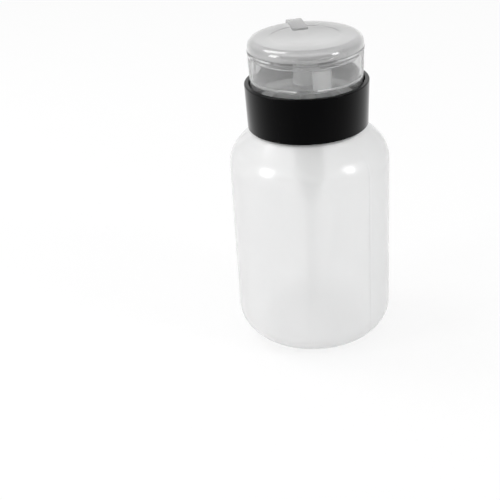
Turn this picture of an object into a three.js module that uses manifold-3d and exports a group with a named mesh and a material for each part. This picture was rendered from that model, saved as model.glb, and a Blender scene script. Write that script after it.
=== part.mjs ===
// Press-top remover bottle: a translucent bottle, a black screw collar, a spring pump
// with a dip tube, and a clear dispensing cup under a hinged lid that snaps open.
// Millimetres, +Z up. The origin is the centre of the base. The lid's hinge is on the
// +Y side, so its thumb lip points along -Y.

import * as THREE from 'three';
import { mergeVertices } from 'three/addons/utils/BufferGeometryUtils.js';
import Module from 'manifold-3d';

const wasm = await Module();
wasm.setup();

// Shared clearances
const seatGap = 0.3;
const cutOverrun = 1;
const weldDistance = 0.0001;

// Bottle
const bottleRadius = 31;
const bottleWall = 1.2;
const heelRadius = 12.5;
const footRingWidth = 3;
const baseRise = 1.8;
const sideHeight = 74;
const shoulderRadius = 12;
const shoulderTurn = THREE.MathUtils.degToRad(45);
const shoulderLedgeMargin = 0.5;
const neckRootRadius = 15.2;
const neckWall = 1.8;
const neckHeight = 7.75;
const neckLipRound = 0.5;

// Screw thread, cut once on the neck and once in the nut
const threadPitch = 3;
const threadTurns = 1.25;
const threadDepth = 1;
const threadRootWidth = 1.5;
const threadCrestWidth = 0.7;
const threadLead = 1.5;
const threadSink = 0.5;
const nutThreadTurns = 1;
const nutThreadDepth = 0.8;
const nutThreadRootWidth = 1.3;
const nutThreadCrestWidth = 0.6;

// Neck gasket and closure nut
const gasketThickness = 0.8;
const gasketInset = 0.2;
const gasketOverhang = 0.5;
const nutFlangeThickness = 1;
const nutHoleInset = 0.2;
const nutWall = 1.9;
const nutHeight = 10.1;
const nutWebThickness = 1.2;
const nutRibDepth = 0.6;
const nutRibWidth = 1.2;

// Collar sleeve round the nut and the cup
const collarHeight = 17.5;
const collarWall = 1.75;
const collarFlare = 0.5;
const collarEdgeRound = 0.5;
const collarLipThickness = 0.8;
const collarLipReach = 0.75;

// Pump cylinder
const pumpFlangeThickness = 1.1;
const pumpFlangeOverhang = 0.6;
const wellGap = 1;
const wellWall = 1;
const wellDepth = 4.6;
const cylinderBoreRadius = 4.9;
const cylinderWall = 1.1;
const cylinderRimHeight = 1.5;
const boreLength = 28.6;
const ventRadius = 0.6;
const ventDrop = 3;
const valveWall = 1.2;
const valveTaper = 2;
const throatRadius = 1.1;
const throatLength = 0.6;
const seatConeDepth = 1.4;
const socketWall = 1;
const socketDepth = 3.6;

// Valve balls and their play
const inletBallRadius = 2;
const inletBallPlay = 0.8;
const inletBallLift = 1;
const outletBallRadius = 1.5;
const outletBallLift = 0.8;
const cageThickness = 1.2;
const cageHoleRadius = 1.4;
const cageSlotWidth = 0.8;
const cageSlotMargin = 1;

// Dip tube
const dipTubeRadius = 2.1;
const dipTubeWall = 0.6;
const dipTubeFloorGap = 2.2;
const dipTubeSlant = 2;

// Cylinder cap that guides the stem
const capPlateThickness = 1;
const capOverhang = 1.4;
const capSkirtDepth = 1;

// Piston, its seat and its hollow stem
const pistonHeight = 5;
const pistonLipHeight = 1.1;
const pistonWaist = 0.6;
const pistonSeatThickness = 1;
const pistonSeatInset = 0.3;
const pistonSeatPinLength = 3;
const stemRadius = 2.9;
const stemBoreRadius = 1.3;
const stemNeckWall = 0.7;
const stemShoulderRadius = 4.2;
const stemShoulderThickness = 0.8;
const stemInsertion = 4.6;
const outletSeatRadius = 2.2;
const outletSeatDepth = 1;

// Return spring
const springReserve = 0.7;
const springWireRadius = 0.3;
const springBoreGap = 1.1;
const springCurls = 5;

// Press head: cup wall, sloped dish and boss
const pumpStroke = 5.5;
const cupRise = 11.4;
const cupSkirtGap = 1.65;
const cupWall = 1.1;
const cupRunGap = 0.7;
const cupTaper = 0.55;
const cupSkirtLength = 17;
const cupRimRound = 0.3;
const dishDepth = 9.15;
const dishDrop = 3.5;
const dishThickness = 1;
const dishFillet = 0.8;
const bossHeight = 8.4;
const bossWall = 1.5;
const bossDraft = 0.5;
const bossEdgeRound = 0.4;
const padWidth = 6.9;
const padThickness = 1.3;
const padSink = 0.5;
const padTurn = 6;

// Nozzle cap on the boss
const nozzleOverhang = 0.7;
const nozzlePlateThickness = 0.8;
const nozzleRidgeRadius = 2.5;
const nozzleRidgeHeight = 0.4;
const nozzleRidgeWidth = 0.5;
const nozzleHoleRadius = 0.7;

// Hinge ring on the cup's rim
const ringOverhang = 0.1;
const ringThickness = 1;
const ringPlugDepth = 2.1;
const ringPlugWall = 0.9;
const ringPlugGap = 0.4;
const ringLipHeight = 2;
const ringLipGap = 0.5;
const ringBeadReach = 0.2;
const ringBeadHeight = 0.6;
const ringLipBreakHalfWidth = 6.6;

// Lid
const lidInset = 0.1;
const lidHeight = 3.9;
const lidWall = 1;
const lidEdgeRound = 3;
const lidRecessRadius = 13;
const lidRecessDepth = 0.3;
const notchDepth = 13;
const notchMouthRound = 4;
const notchEndRound = 1.2;
const thumbLipReach = 1.3;
const thumbLipHalfWidth = 9.2;
const thumbLipThickness = 1;

// Two-leaf hinge straps and the snap link between them
const lidOpenAngle = THREE.MathUtils.degToRad(165);
const hingeReach = 2.3;
const strapSpacing = 12;
const strapRootWidth = 4.2;
const strapWaistWidth = 3;
const strapThickness = 0.8;
const strapRootSink = 2.2;
const linkWidth = 5.6;
const linkThickness = 0.9;
const linkProud = 0.3;
const linkCornerRound = 2.2;
const linkPivotDrop = 1.6;
const bracketThickness = 0.8;
const bracketCupGap = 0.35;
const bracketSink = 0.6;

// Facet counts
const roundFaces = 48;
const nutFaces = 40;
const innerFaces = 24;
const fineFaces = 16;
const ballRings = 8;
const threadSteps = 28;
const threadFadeSteps = 4;
const arcSteps = 5;
const shoulderSteps = 4;
const springSteps = 8;
const springSides = 5;
const nutRibs = 8;
const cageSlots = 4;
const cupPads = 3;

const quarterTurn = Math.PI / 2;
const fullTurn = Math.PI * 2;

// Radii, worked outwards from the neck
const threadCrestRadius = neckRootRadius + threadDepth;
const nutBoreRadius = threadCrestRadius + seatGap;
const nutRadius = nutBoreRadius + nutWall;
const cupLowInnerRadius = nutRadius + cupSkirtGap;
const cupLowRadius = cupLowInnerRadius + cupWall;
const collarBoreRadius = cupLowRadius + cupRunGap;
const collarTopRadius = collarBoreRadius + collarWall;
const collarLowRadius = collarTopRadius - collarFlare;
const collarLipRadius = collarBoreRadius - collarLipReach;
const nutWebRadius = collarBoreRadius - seatGap;
const cupTopRadius = cupLowRadius + cupTaper;
const cupTopInnerRadius = cupTopRadius - cupWall;
const ringRadius = cupTopRadius + ringOverhang;
const lidRadius = ringRadius - lidInset;
const lidInnerRadius = lidRadius - lidWall;
const neckBoreRadius = neckRootRadius - neckWall;
const stemHoleRadius = stemRadius + seatGap;
const bossTopRadius = stemHoleRadius + bossWall;
const bossLowRadius = bossTopRadius + bossDraft;
const cylinderRadius = cylinderBoreRadius + cylinderWall;
const slidingRadius = cylinderBoreRadius - seatGap;

// Heights, worked upwards from the base
const shoulderCentreRadius = bottleRadius - shoulderRadius;
const shoulderTopRadius = shoulderCentreRadius + shoulderRadius * Math.cos(shoulderTurn);
const shoulderTop = sideHeight + shoulderRadius * Math.sin(shoulderTurn);
const ledgeRadius = collarLipRadius + shoulderLedgeMargin;
const ledgeTop = shoulderTop + (shoulderTopRadius - ledgeRadius) / Math.tan(shoulderTurn);
const neckTop = ledgeTop + neckHeight;
const gasketBottom = neckTop + seatGap;
const pumpFlangeBottom = gasketBottom + gasketThickness + seatGap;
const pumpFlangeTop = pumpFlangeBottom + pumpFlangeThickness;
const nutTop = pumpFlangeTop + seatGap + nutFlangeThickness;
const nutBottom = nutTop - nutHeight;
const collarBottom = nutBottom - seatGap - collarLipThickness;
const collarTop = collarBottom + collarHeight;
const cupRim = collarTop + cupRise;
const cupBottom = cupRim - cupSkirtLength;
const dishEdge = cupRim - dishDepth;
const dishCentre = dishEdge - dishDrop;
const bossTop = dishCentre + bossHeight;
const ringBottom = cupRim + seatGap;
const ringTop = ringBottom + ringThickness;
const lidBottom = ringTop + seatGap;
const lidTop = lidBottom + lidHeight;

// Heights inside the pump, worked downwards from its flange
const wellFloor = pumpFlangeTop - wellDepth;
const cylinderRim = wellFloor + cylinderRimHeight;
const boreBottom = wellFloor - boreLength;
const inletChamberRadius = inletBallRadius + inletBallPlay;
const springEndLength = springWireRadius * 2;
const springSolidLength = (springCurls + 2) * springEndLength;
const springLength = pumpStroke + springSolidLength + springReserve;

// Height of a ball's centre over the foot of the cone that it rests in.
function ballSeatHeight(ballRadius, lowRadius, highRadius, coneDepth) {
  const slope = Math.hypot(highRadius - lowRadius, coneDepth);
  const toCone = (lowRadius * coneDepth) / slope;
  return ((ballRadius + seatGap - toCone) * slope) / (highRadius - lowRadius);
}

const inletSeatHeight = ballSeatHeight(inletBallRadius, throatRadius, inletChamberRadius, seatConeDepth);
const valveHeight = inletSeatHeight + inletBallRadius + inletBallLift + seatGap;
const coneBottom = boreBottom - valveHeight;
const coneTop = coneBottom + seatConeDepth;
const throatBottom = coneBottom - throatLength;
const socketBottom = throatBottom - socketDepth;
const inletBallHeight = coneBottom + inletSeatHeight;
const cageBottom = boreBottom + seatGap;
const springBottom = cageBottom + cageThickness + seatGap;
const springTop = springBottom + springLength;
const pistonSeatBottom = springTop + seatGap;
const pistonBottom = pistonSeatBottom + pistonSeatThickness + seatGap;
const pistonTop = pistonBottom + pistonHeight;
const stemShoulderTop = dishCentre - dishThickness - seatGap;
const stemTop = dishCentre - dishThickness + stemInsertion;
const outletSeatHeight = ballSeatHeight(outletBallRadius, stemBoreRadius, outletSeatRadius, outletSeatDepth);
const outletBallHeight = stemTop - outletSeatDepth + outletSeatHeight;
const nozzlePinBottom = outletBallHeight + outletBallRadius + outletBallLift + seatGap;

// Hinge axis, and the two ends of the snap link seen from the side as (y, z). The link's
// ring end lies where both limits of the lid hold its lid end at the same distance.
const hingeY = ringRadius + hingeReach;
const hingeZ = ringTop + seatGap / 2;
const notchEndY = lidRadius - notchDepth;
const linkEndY = notchEndY + seatGap;
const linkTop = lidTop + linkProud;
const linkLidPivot = new THREE.Vector2(linkEndY + linkThickness / 2, linkTop - linkThickness / 2);
const linkBisector = Math.atan2(linkLidPivot.y - hingeZ, linkLidPivot.x - hingeY) - lidOpenAngle / 2;
const linkRingPivot = new THREE.Vector2(
  hingeY - linkPivotDrop * Math.cos(linkBisector),
  hingeZ - linkPivotDrop * Math.sin(linkBisector),
);
const notchHalfWidth = linkWidth / 2 + seatGap;

// Materials
const frosted = new THREE.MeshStandardMaterial({
  color: 0xe9ecec,
  roughness: 0.32,
  metalness: 0,
  transparent: true,
  opacity: 0.55,
});
const milky = new THREE.MeshStandardMaterial({
  color: 0xf0f1f0,
  roughness: 0.42,
  metalness: 0,
  transparent: true,
  opacity: 0.7,
});
const black = new THREE.MeshStandardMaterial({ color: 0x0b0b0c, roughness: 0.12, metalness: 0 });
const white = new THREE.MeshStandardMaterial({ color: 0xf4f4f2, roughness: 0.45, metalness: 0 });
const tubing = new THREE.MeshStandardMaterial({ color: 0xe4e8e8, roughness: 0.35, metalness: 0 });
const foam = new THREE.MeshStandardMaterial({ color: 0xdfdfdb, roughness: 0.85, metalness: 0 });
const steel = new THREE.MeshStandardMaterial({ color: 0xb9bcc0, roughness: 0.22, metalness: 1 });

// A profile point: distance from the axis, then height.
const at = (radius, height) => new THREE.Vector2(radius, height);

// Points of a round stretch of an outline about a centre.
function bend(centreX, centreY, radius, from, to, steps = arcSteps) {
  return Array.from({ length: steps + 1 }, (_, step) => {
    const angle = THREE.MathUtils.lerp(from, to, step / steps);
    return at(centreX + radius * Math.cos(angle), centreY + radius * Math.sin(angle));
  });
}

// A closed solid from a geometry whose faces meet edge to edge.
function solidOf(geometry) {
  const bare = geometry.clone();
  bare.deleteAttribute('normal');
  bare.deleteAttribute('uv');
  const welded = mergeVertices(bare, weldDistance);
  const corners = Array.from(welded.index.array);
  const triangles = [];
  for (let first = 0; first < corners.length; first += 3) {
    const [a, b, c] = corners.slice(first, first + 3);
    if (a !== b && b !== c && c !== a) triangles.push(a, b, c);
  }
  return new wasm.Manifold(
    new wasm.Mesh({
      numProp: 3,
      vertProperties: new Float32Array(welded.attributes.position.array),
      triVerts: new Uint32Array(triangles),
    }),
  );
}

// A profile turned round the Z axis. It closes on itself or runs from axis to axis.
function turned(profile, faces) {
  const closed = profile[0].x === 0 ? profile : [...profile, profile[0]];
  return solidOf(new THREE.LatheGeometry(closed, faces).rotateX(quarterTurn));
}

// A plan outline raised from one height to another.
function raised(outline, bottom, top) {
  const geometry = new THREE.ExtrudeGeometry(new THREE.Shape(outline), {
    depth: top - bottom,
    bevelEnabled: false,
  });
  return solidOf(geometry.translate(0, 0, bottom));
}

// A side outline of (y, z) points, as wide as told along X about the middle plane.
function widened(outline, width) {
  const geometry = new THREE.ExtrudeGeometry(new THREE.Shape(outline), {
    depth: width,
    bevelEnabled: false,
  });
  const side = new THREE.Matrix4().makeBasis(
    new THREE.Vector3(0, 1, 0),
    new THREE.Vector3(0, 0, 1),
    new THREE.Vector3(1, 0, 0),
  );
  return solidOf(geometry.applyMatrix4(side).translate(-width / 2, 0, 0));
}

// A rectangle's corners, for raised() and widened().
const rectangle = (x0, x1, y0, y1) => [at(x0, y0), at(x1, y0), at(x1, y1), at(x0, y1)];

// A round bar along Z.
const bar = (radius, bottom, top, faces) => {
  const geometry = new THREE.CylinderGeometry(radius, radius, top - bottom, faces);
  return solidOf(geometry.rotateX(quarterTurn).translate(0, 0, (bottom + top) / 2));
};

// A named mesh of a solid.
function piece(name, solid, material) {
  const { vertProperties, triVerts } = solid.getMesh();
  const geometry = new THREE.BufferGeometry();
  geometry.setAttribute('position', new THREE.BufferAttribute(new Float32Array(vertProperties), 3));
  geometry.setIndex(new THREE.BufferAttribute(new Uint32Array(triVerts), 1));
  geometry.computeVertexNormals();
  const mesh = new THREE.Mesh(geometry, material);
  mesh.name = name;
  return mesh;
}

// Joins rings of points into a closed skin, with a flat cap on each end.
function skinOf(rings) {
  const sides = rings[0].length;
  const triangles = [];
  for (let ring = 0; ring + 1 < rings.length; ring += 1) {
    for (let side = 0; side < sides; side += 1) {
      const next = (side + 1) % sides;
      const a = ring * sides + side;
      const b = ring * sides + next;
      triangles.push(a, b, b + sides, a, b + sides, a + sides);
    }
  }
  const last = (rings.length - 1) * sides;
  for (let side = 1; side + 1 < sides; side += 1) {
    triangles.push(0, side + 1, side, last, last + side, last + side + 1);
  }
  const geometry = new THREE.BufferGeometry().setFromPoints(rings.flat());
  geometry.setIndex(triangles);
  return geometry;
}

// A screw ridge that rises anticlockwise, sunk a little into its wall and fading at both
// ends. It points outwards when its crest is the larger radius, and inwards otherwise.
function threadRidge({ rootRadius, crestRadius, rootWidth, crestWidth, turns, start }) {
  const outward = Math.sign(crestRadius - rootRadius);
  const sunkRadius = rootRadius - outward * threadSink;
  const steps = Math.round(turns * threadSteps);
  const rings = Array.from({ length: steps + 1 }, (_, step) => {
    const angle = (step / threadSteps) * fullTurn;
    const height = start + (step / threadSteps) * threadPitch;
    const fade = Math.min(1, (step + 1) / threadFadeSteps, (steps - step + 1) / threadFadeSteps);
    const crest = THREE.MathUtils.lerp(sunkRadius, crestRadius, fade);
    const section = [
      at(sunkRadius, -rootWidth / 2),
      at(crest, -crestWidth / 2),
      at(crest, crestWidth / 2),
      at(sunkRadius, rootWidth / 2),
    ];
    return section.map(
      ({ x, y }) => new THREE.Vector3(x * Math.cos(angle), x * Math.sin(angle), height + y),
    );
  });
  if (outward > 0) rings.reverse();
  return solidOf(skinOf(rings));
}

function makeBottle() {
  const footRadius = bottleRadius - heelRadius;
  const recessRadius = footRadius - footRingWidth;
  const innerRadius = bottleRadius - bottleWall;
  const ledgeMitre = (bottleWall * (1 - Math.sin(shoulderTurn))) / Math.cos(shoulderTurn);
  const outside = [
    at(0, baseRise),
    at(recessRadius / 2, baseRise),
    at(recessRadius, 0),
    ...bend(footRadius, heelRadius, heelRadius, -quarterTurn, 0),
    ...bend(shoulderCentreRadius, sideHeight, shoulderRadius, 0, shoulderTurn, shoulderSteps),
    at(ledgeRadius, ledgeTop),
    at(neckRootRadius, ledgeTop),
    ...bend(neckRootRadius - neckLipRound, neckTop - neckLipRound, neckLipRound, 0, quarterTurn, 2),
  ];
  const inside = [
    at(neckBoreRadius, neckTop),
    at(neckBoreRadius, ledgeTop - bottleWall),
    at(ledgeRadius - ledgeMitre, ledgeTop - bottleWall),
    ...bend(
      shoulderCentreRadius,
      sideHeight,
      shoulderRadius - bottleWall,
      shoulderTurn,
      0,
      shoulderSteps,
    ),
    ...bend(footRadius, heelRadius, innerRadius - footRadius, 0, -quarterTurn),
    at(recessRadius, bottleWall),
    at(recessRadius / 2, baseRise + bottleWall),
    at(0, baseRise + bottleWall),
  ];
  const thread = threadRidge({
    rootRadius: neckRootRadius,
    crestRadius: threadCrestRadius,
    rootWidth: threadRootWidth,
    crestWidth: threadCrestWidth,
    turns: threadTurns,
    start: ledgeTop + threadLead,
  });
  return piece('bottle', turned([...outside, ...inside], roundFaces).add(thread), milky);
}

function makeCollar() {
  const profile = [
    at(collarLipRadius, collarBottom),
    ...bend(
      collarLowRadius - collarEdgeRound,
      collarBottom + collarEdgeRound,
      collarEdgeRound,
      -quarterTurn,
      0,
      3,
    ),
    ...bend(
      collarTopRadius - collarEdgeRound,
      collarTop - collarEdgeRound,
      collarEdgeRound,
      0,
      quarterTurn,
      3,
    ),
    at(collarBoreRadius, collarTop),
    at(collarBoreRadius, collarBottom + collarLipThickness),
    at(collarLipRadius, collarBottom + collarLipThickness),
  ];
  return piece('collar', turned(profile, roundFaces), black);
}

function makeNeckGasket() {
  const inner = neckBoreRadius + gasketInset;
  const outer = neckRootRadius + gasketOverhang;
  const profile = rectangle(inner, outer, gasketBottom, gasketBottom + gasketThickness);
  return piece('neck_gasket', turned(profile, innerFaces), foam);
}

function makeClosureNut() {
  const holeRadius = neckBoreRadius - nutHoleInset;
  const webTop = nutBottom + nutWebThickness;
  const flangeBottom = nutTop - nutFlangeThickness;
  const profile = [
    at(nutBoreRadius, nutBottom),
    at(nutWebRadius, nutBottom),
    at(nutWebRadius, webTop),
    at(nutRadius, webTop),
    at(nutRadius, nutTop),
    at(holeRadius, nutTop),
    at(holeRadius, flangeBottom),
    at(nutBoreRadius, flangeBottom),
  ];
  const thread = threadRidge({
    rootRadius: nutBoreRadius,
    crestRadius: nutBoreRadius - nutThreadDepth,
    rootWidth: nutThreadRootWidth,
    crestWidth: nutThreadCrestWidth,
    turns: nutThreadTurns,
    start: ledgeTop + threadLead + threadPitch / 2,
  });
  let nut = turned(profile, nutFaces).add(thread);
  const rib = raised(
    rectangle(nutRadius - threadSink, nutRadius + nutRibDepth, -nutRibWidth / 2, nutRibWidth / 2),
    nutBottom + nutWebThickness / 2,
    nutTop - nutFlangeThickness,
  );
  for (let count = 0; count < nutRibs; count += 1) {
    nut = nut.add(rib.rotate([0, 0, (count * 360) / nutRibs]));
  }
  return piece('closure_nut', nut, white);
}

function makePumpCylinder() {
  const wellRadius = neckBoreRadius - wellGap;
  const valveRadius = inletChamberRadius + valveWall;
  const socketRadius = dipTubeRadius + seatGap;
  const profile = [
    at(socketRadius, socketBottom),
    at(socketRadius + socketWall, socketBottom),
    at(socketRadius + socketWall, coneBottom),
    at(valveRadius, coneTop),
    at(valveRadius, boreBottom - valveTaper),
    at(cylinderRadius, boreBottom),
    at(cylinderRadius, wellFloor - wellWall),
    at(wellRadius, wellFloor - wellWall),
    at(wellRadius, pumpFlangeBottom),
    at(neckRootRadius + pumpFlangeOverhang, pumpFlangeBottom),
    at(neckRootRadius + pumpFlangeOverhang, pumpFlangeTop),
    at(wellRadius - wellWall, pumpFlangeTop),
    at(wellRadius - wellWall, wellFloor),
    at(cylinderRadius, wellFloor),
    at(cylinderRadius, cylinderRim),
    at(cylinderBoreRadius, cylinderRim),
    at(cylinderBoreRadius, boreBottom),
    at(inletChamberRadius, boreBottom),
    at(inletChamberRadius, coneTop),
    at(throatRadius, coneBottom),
    at(throatRadius, throatBottom),
    at(socketRadius, throatBottom),
  ];
  const vent = bar(ventRadius, 0, cylinderRadius + cutOverrun, fineFaces)
    .rotate([0, 90, 0])
    .translate([0, 0, wellFloor - wellWall - ventDrop]);
  return piece('pump_cylinder', turned(profile, innerFaces).subtract(vent), white);
}

function makeCylinderCap() {
  const plateBottom = cylinderRim + seatGap;
  const plateRadius = cylinderRadius + capOverhang;
  const sleeveBottom = pistonTop + seatGap;
  const profile = [
    at(stemHoleRadius, sleeveBottom),
    at(slidingRadius, sleeveBottom),
    at(slidingRadius, plateBottom),
    at(cylinderRadius + seatGap, plateBottom),
    at(cylinderRadius + seatGap, plateBottom - capSkirtDepth),
    at(plateRadius, plateBottom - capSkirtDepth),
    at(plateRadius, plateBottom + capPlateThickness),
    at(stemHoleRadius, plateBottom + capPlateThickness),
  ];
  return piece('cylinder_cap', turned(profile, innerFaces), white);
}

function makeDipTube() {
  const top = throatBottom - seatGap;
  const bottom = baseRise + bottleWall + dipTubeFloorGap;
  const profile = rectangle(dipTubeRadius - dipTubeWall, dipTubeRadius, bottom, top);
  const wedge = widened(
    [
      at(-dipTubeRadius - cutOverrun, bottom - cutOverrun),
      at(dipTubeRadius + cutOverrun, bottom - cutOverrun),
      at(dipTubeRadius + cutOverrun, bottom + dipTubeSlant),
      at(-dipTubeRadius, bottom),
      at(-dipTubeRadius - cutOverrun, bottom),
    ],
    (dipTubeRadius + cutOverrun) * 2,
  );
  return piece('dip_tube', turned(profile, fineFaces).subtract(wedge), tubing);
}

function makeBall(name, radius, height) {
  const geometry = new THREE.SphereGeometry(radius, fineFaces, ballRings);
  const ball = piece(name, solidOf(geometry.rotateX(quarterTurn)), steel);
  ball.position.z = height;
  return ball;
}

function makeBallCage() {
  const profile = rectangle(cageHoleRadius, slidingRadius, cageBottom, cageBottom + cageThickness);
  let cage = turned(profile, innerFaces);
  const slot = raised(
    rectangle(0, slidingRadius - cageSlotMargin, -cageSlotWidth / 2, cageSlotWidth / 2),
    cageBottom - cutOverrun,
    cageBottom + cageThickness + cutOverrun,
  );
  for (let count = 0; count < cageSlots; count += 1) {
    cage = cage.subtract(slot.rotate([0, 0, (count * 360) / cageSlots]));
  }
  return piece('ball_cage', cage, white);
}

function makePistonSeat() {
  const radius = slidingRadius - pistonSeatInset;
  const pinRadius = stemBoreRadius - seatGap;
  const top = pistonSeatBottom + pistonSeatThickness;
  const profile = [
    at(0, pistonSeatBottom),
    at(radius, pistonSeatBottom),
    at(radius, top),
    at(pinRadius, top),
    at(pinRadius, top + pistonSeatPinLength),
    at(0, top + pistonSeatPinLength),
  ];
  return piece('piston_seat', turned(profile, innerFaces), white);
}

function makePiston() {
  const bore = stemBoreRadius + stemNeckWall + seatGap;
  const waist = slidingRadius - pistonWaist;
  const profile = [
    at(bore, pistonBottom),
    at(slidingRadius, pistonBottom),
    at(slidingRadius, pistonBottom + pistonLipHeight / 2),
    at(waist, pistonBottom + pistonLipHeight),
    at(waist, pistonTop - pistonLipHeight),
    at(slidingRadius, pistonTop - pistonLipHeight / 2),
    at(slidingRadius, pistonTop),
    at(bore, pistonTop),
  ];
  return piece('piston', turned(profile, innerFaces), tubing);
}

function makePistonStem() {
  const neckRadius = stemBoreRadius + stemNeckWall;
  const profile = [
    at(stemBoreRadius, pistonBottom),
    at(neckRadius, pistonBottom),
    at(neckRadius, pistonTop + seatGap),
    at(stemRadius, pistonTop + seatGap),
    at(stemRadius, stemShoulderTop - stemShoulderThickness),
    at(stemShoulderRadius, stemShoulderTop - stemShoulderThickness),
    at(stemShoulderRadius, stemShoulderTop),
    at(stemRadius, stemShoulderTop),
    at(stemRadius, stemTop),
    at(outletSeatRadius, stemTop),
    at(stemBoreRadius, stemTop - outletSeatDepth),
  ];
  return piece('piston_stem', turned(profile, innerFaces), white);
}

// The spring's wire: one tube that climbs round the axis, with each end turned square to
// its seat for one wire's width.
function makeReturnSpring() {
  const coilRadius = cylinderBoreRadius - springBoreGap - springWireRadius;
  const climb = springLength - springEndLength * 2;
  const steps = springCurls * springSteps;
  const route = Array.from({ length: steps + 1 }, (_, step) => {
    const angle = (step / springSteps) * fullTurn;
    const height = springBottom + springEndLength + (climb * step) / steps;
    return new THREE.Vector3(coilRadius * Math.cos(angle), coilRadius * Math.sin(angle), height);
  });
  const foot = route[0].clone().setZ(springBottom);
  const head = route[steps].clone().setZ(springTop);
  const points = [foot, ...route, head];
  const rings = points.map((point, index) => {
    const before = points[Math.max(index - 1, 0)];
    const after = points[Math.min(index + 1, points.length - 1)];
    const along = after.clone().sub(before).normalize();
    const outward = new THREE.Vector3(point.x, point.y, 0).normalize();
    const across = along.clone().cross(outward).normalize();
    const level = across.clone().cross(along).normalize();
    return Array.from({ length: springSides }, (_, side) => {
      const angle = (side / springSides) * fullTurn;
      return point
        .clone()
        .addScaledVector(level, springWireRadius * Math.cos(angle))
        .addScaledVector(across, springWireRadius * Math.sin(angle));
    });
  });
  reportSpringGap(route);
  return piece('return_spring', solidOf(skinOf(rings)), steel);
}

// Prints the least gap between wire points that lie half a curl or more apart.
function reportSpringGap(route) {
  let least = Infinity;
  route.forEach((point, index) => {
    route.slice(index + springSteps / 2).forEach((other) => {
      least = Math.min(least, point.distanceTo(other) - springWireRadius * 2);
    });
  });
  console.log(`return_spring least gap to itself: ${least.toFixed(2)} mm`);
}

function makePressHead() {
  const innerRadiusAt = (height) => cupLowInnerRadius + (cupTaper * (height - cupBottom)) / cupSkirtLength;
  const innerAtDish = innerRadiusAt(dishEdge);
  const profile = [
    at(cupLowInnerRadius, cupBottom),
    at(cupLowRadius, cupBottom),
    at(cupTopRadius, cupRim - cupRimRound),
    at(cupTopRadius - cupRimRound, cupRim),
    at(cupTopInnerRadius, cupRim),
    at(innerAtDish, dishEdge + dishFillet),
    at(innerAtDish - dishFillet, dishEdge),
    at(bossLowRadius, dishCentre),
    at(bossTopRadius, bossTop - bossEdgeRound),
    at(bossTopRadius - bossEdgeRound, bossTop),
    at(stemHoleRadius, bossTop),
    at(stemHoleRadius, dishCentre - dishThickness),
    at(bossLowRadius, dishCentre - dishThickness),
    at(innerRadiusAt(dishEdge - dishThickness), dishEdge - dishThickness),
  ];
  let head = turned(profile, roundFaces);
  const padInner = innerAtDish - padThickness;
  const pad = raised(
    rectangle(padInner, innerAtDish + padSink, -padWidth / 2, padWidth / 2),
    dishEdge - dishThickness / 2,
    ringBottom - ringPlugDepth - seatGap,
  );
  for (let count = 0; count < cupPads; count += 1) {
    head = head.add(pad.rotate([0, 0, padTurn + (count * 360) / cupPads - 90]));
  }
  return piece('press_head', head, frosted);
}

function makeNozzleCap() {
  const plateBottom = bossTop + seatGap;
  const plateTop = plateBottom + nozzlePlateThickness;
  const profile = [
    at(nozzleHoleRadius, nozzlePinBottom),
    at(stemRadius, nozzlePinBottom),
    at(stemRadius, plateBottom),
    at(stemHoleRadius + nozzleOverhang, plateBottom),
    at(stemHoleRadius + nozzleOverhang, plateTop),
    at(nozzleRidgeRadius + nozzleRidgeWidth / 2, plateTop),
    at(nozzleRidgeRadius, plateTop + nozzleRidgeHeight),
    at(nozzleRidgeRadius - nozzleRidgeWidth / 2, plateTop),
    at(nozzleHoleRadius, plateTop),
  ];
  return piece('nozzle_cap', turned(profile, innerFaces), frosted);
}

// One leaf of each hinge strap, narrowing from its root to the waist at the hinge axis.
function hingeLeaves(bottom) {
  const root = lidRadius - strapRootSink;
  const waist = hingeY - seatGap / 2;
  return [-strapSpacing / 2, strapSpacing / 2].map((middle) =>
    raised(
      [
        at(middle - strapRootWidth / 2, root),
        at(middle + strapRootWidth / 2, root),
        at(middle + strapWaistWidth / 2, waist),
        at(middle - strapWaistWidth / 2, waist),
      ],
      bottom,
      bottom + strapThickness,
    ),
  );
}

function makeHingeRing() {
  const plugRadius = cupTopInnerRadius - ringPlugGap;
  const boreRadius = plugRadius - ringPlugWall;
  const lipRadius = lidInnerRadius - ringLipGap;
  const lipTop = ringTop + ringLipHeight;
  const profile = [
    at(boreRadius, ringBottom - ringPlugDepth),
    at(plugRadius, ringBottom - ringPlugDepth),
    at(plugRadius, ringBottom),
    at(ringRadius, ringBottom),
    at(ringRadius, ringTop),
    at(lipRadius, ringTop),
    at(lipRadius, lipTop - ringBeadHeight * 2),
    at(lipRadius + ringBeadReach, lipTop - ringBeadHeight),
    at(lipRadius, lipTop),
    at(boreRadius, lipTop),
  ];
  const lipBreak = raised(
    rectangle(-ringLipBreakHalfWidth, ringLipBreakHalfWidth, 0, ringRadius),
    ringTop,
    lipTop + cutOverrun,
  );
  const bracketEnd = linkRingPivot.x - linkThickness / 2 - seatGap;
  const bracketTop = linkRingPivot.y + bracketThickness / 2;
  const bracket = widened(
    [
      at(cupTopRadius + bracketCupGap, bracketTop - bracketThickness),
      at(bracketEnd, bracketTop - bracketThickness),
      at(bracketEnd, bracketTop),
      at(cupTopRadius + bracketCupGap + bracketThickness, ringTop),
      at(ringRadius - bracketSink, ringTop),
      at(ringRadius - bracketSink, ringBottom),
      at(cupTopRadius + bracketCupGap, ringBottom),
    ],
    linkWidth,
  );
  let ring = turned(profile, roundFaces).subtract(lipBreak).add(bracket);
  hingeLeaves(ringTop - strapThickness).forEach((leaf) => {
    ring = ring.add(leaf);
  });
  return piece('hinge_ring', ring, frosted);
}

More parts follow.
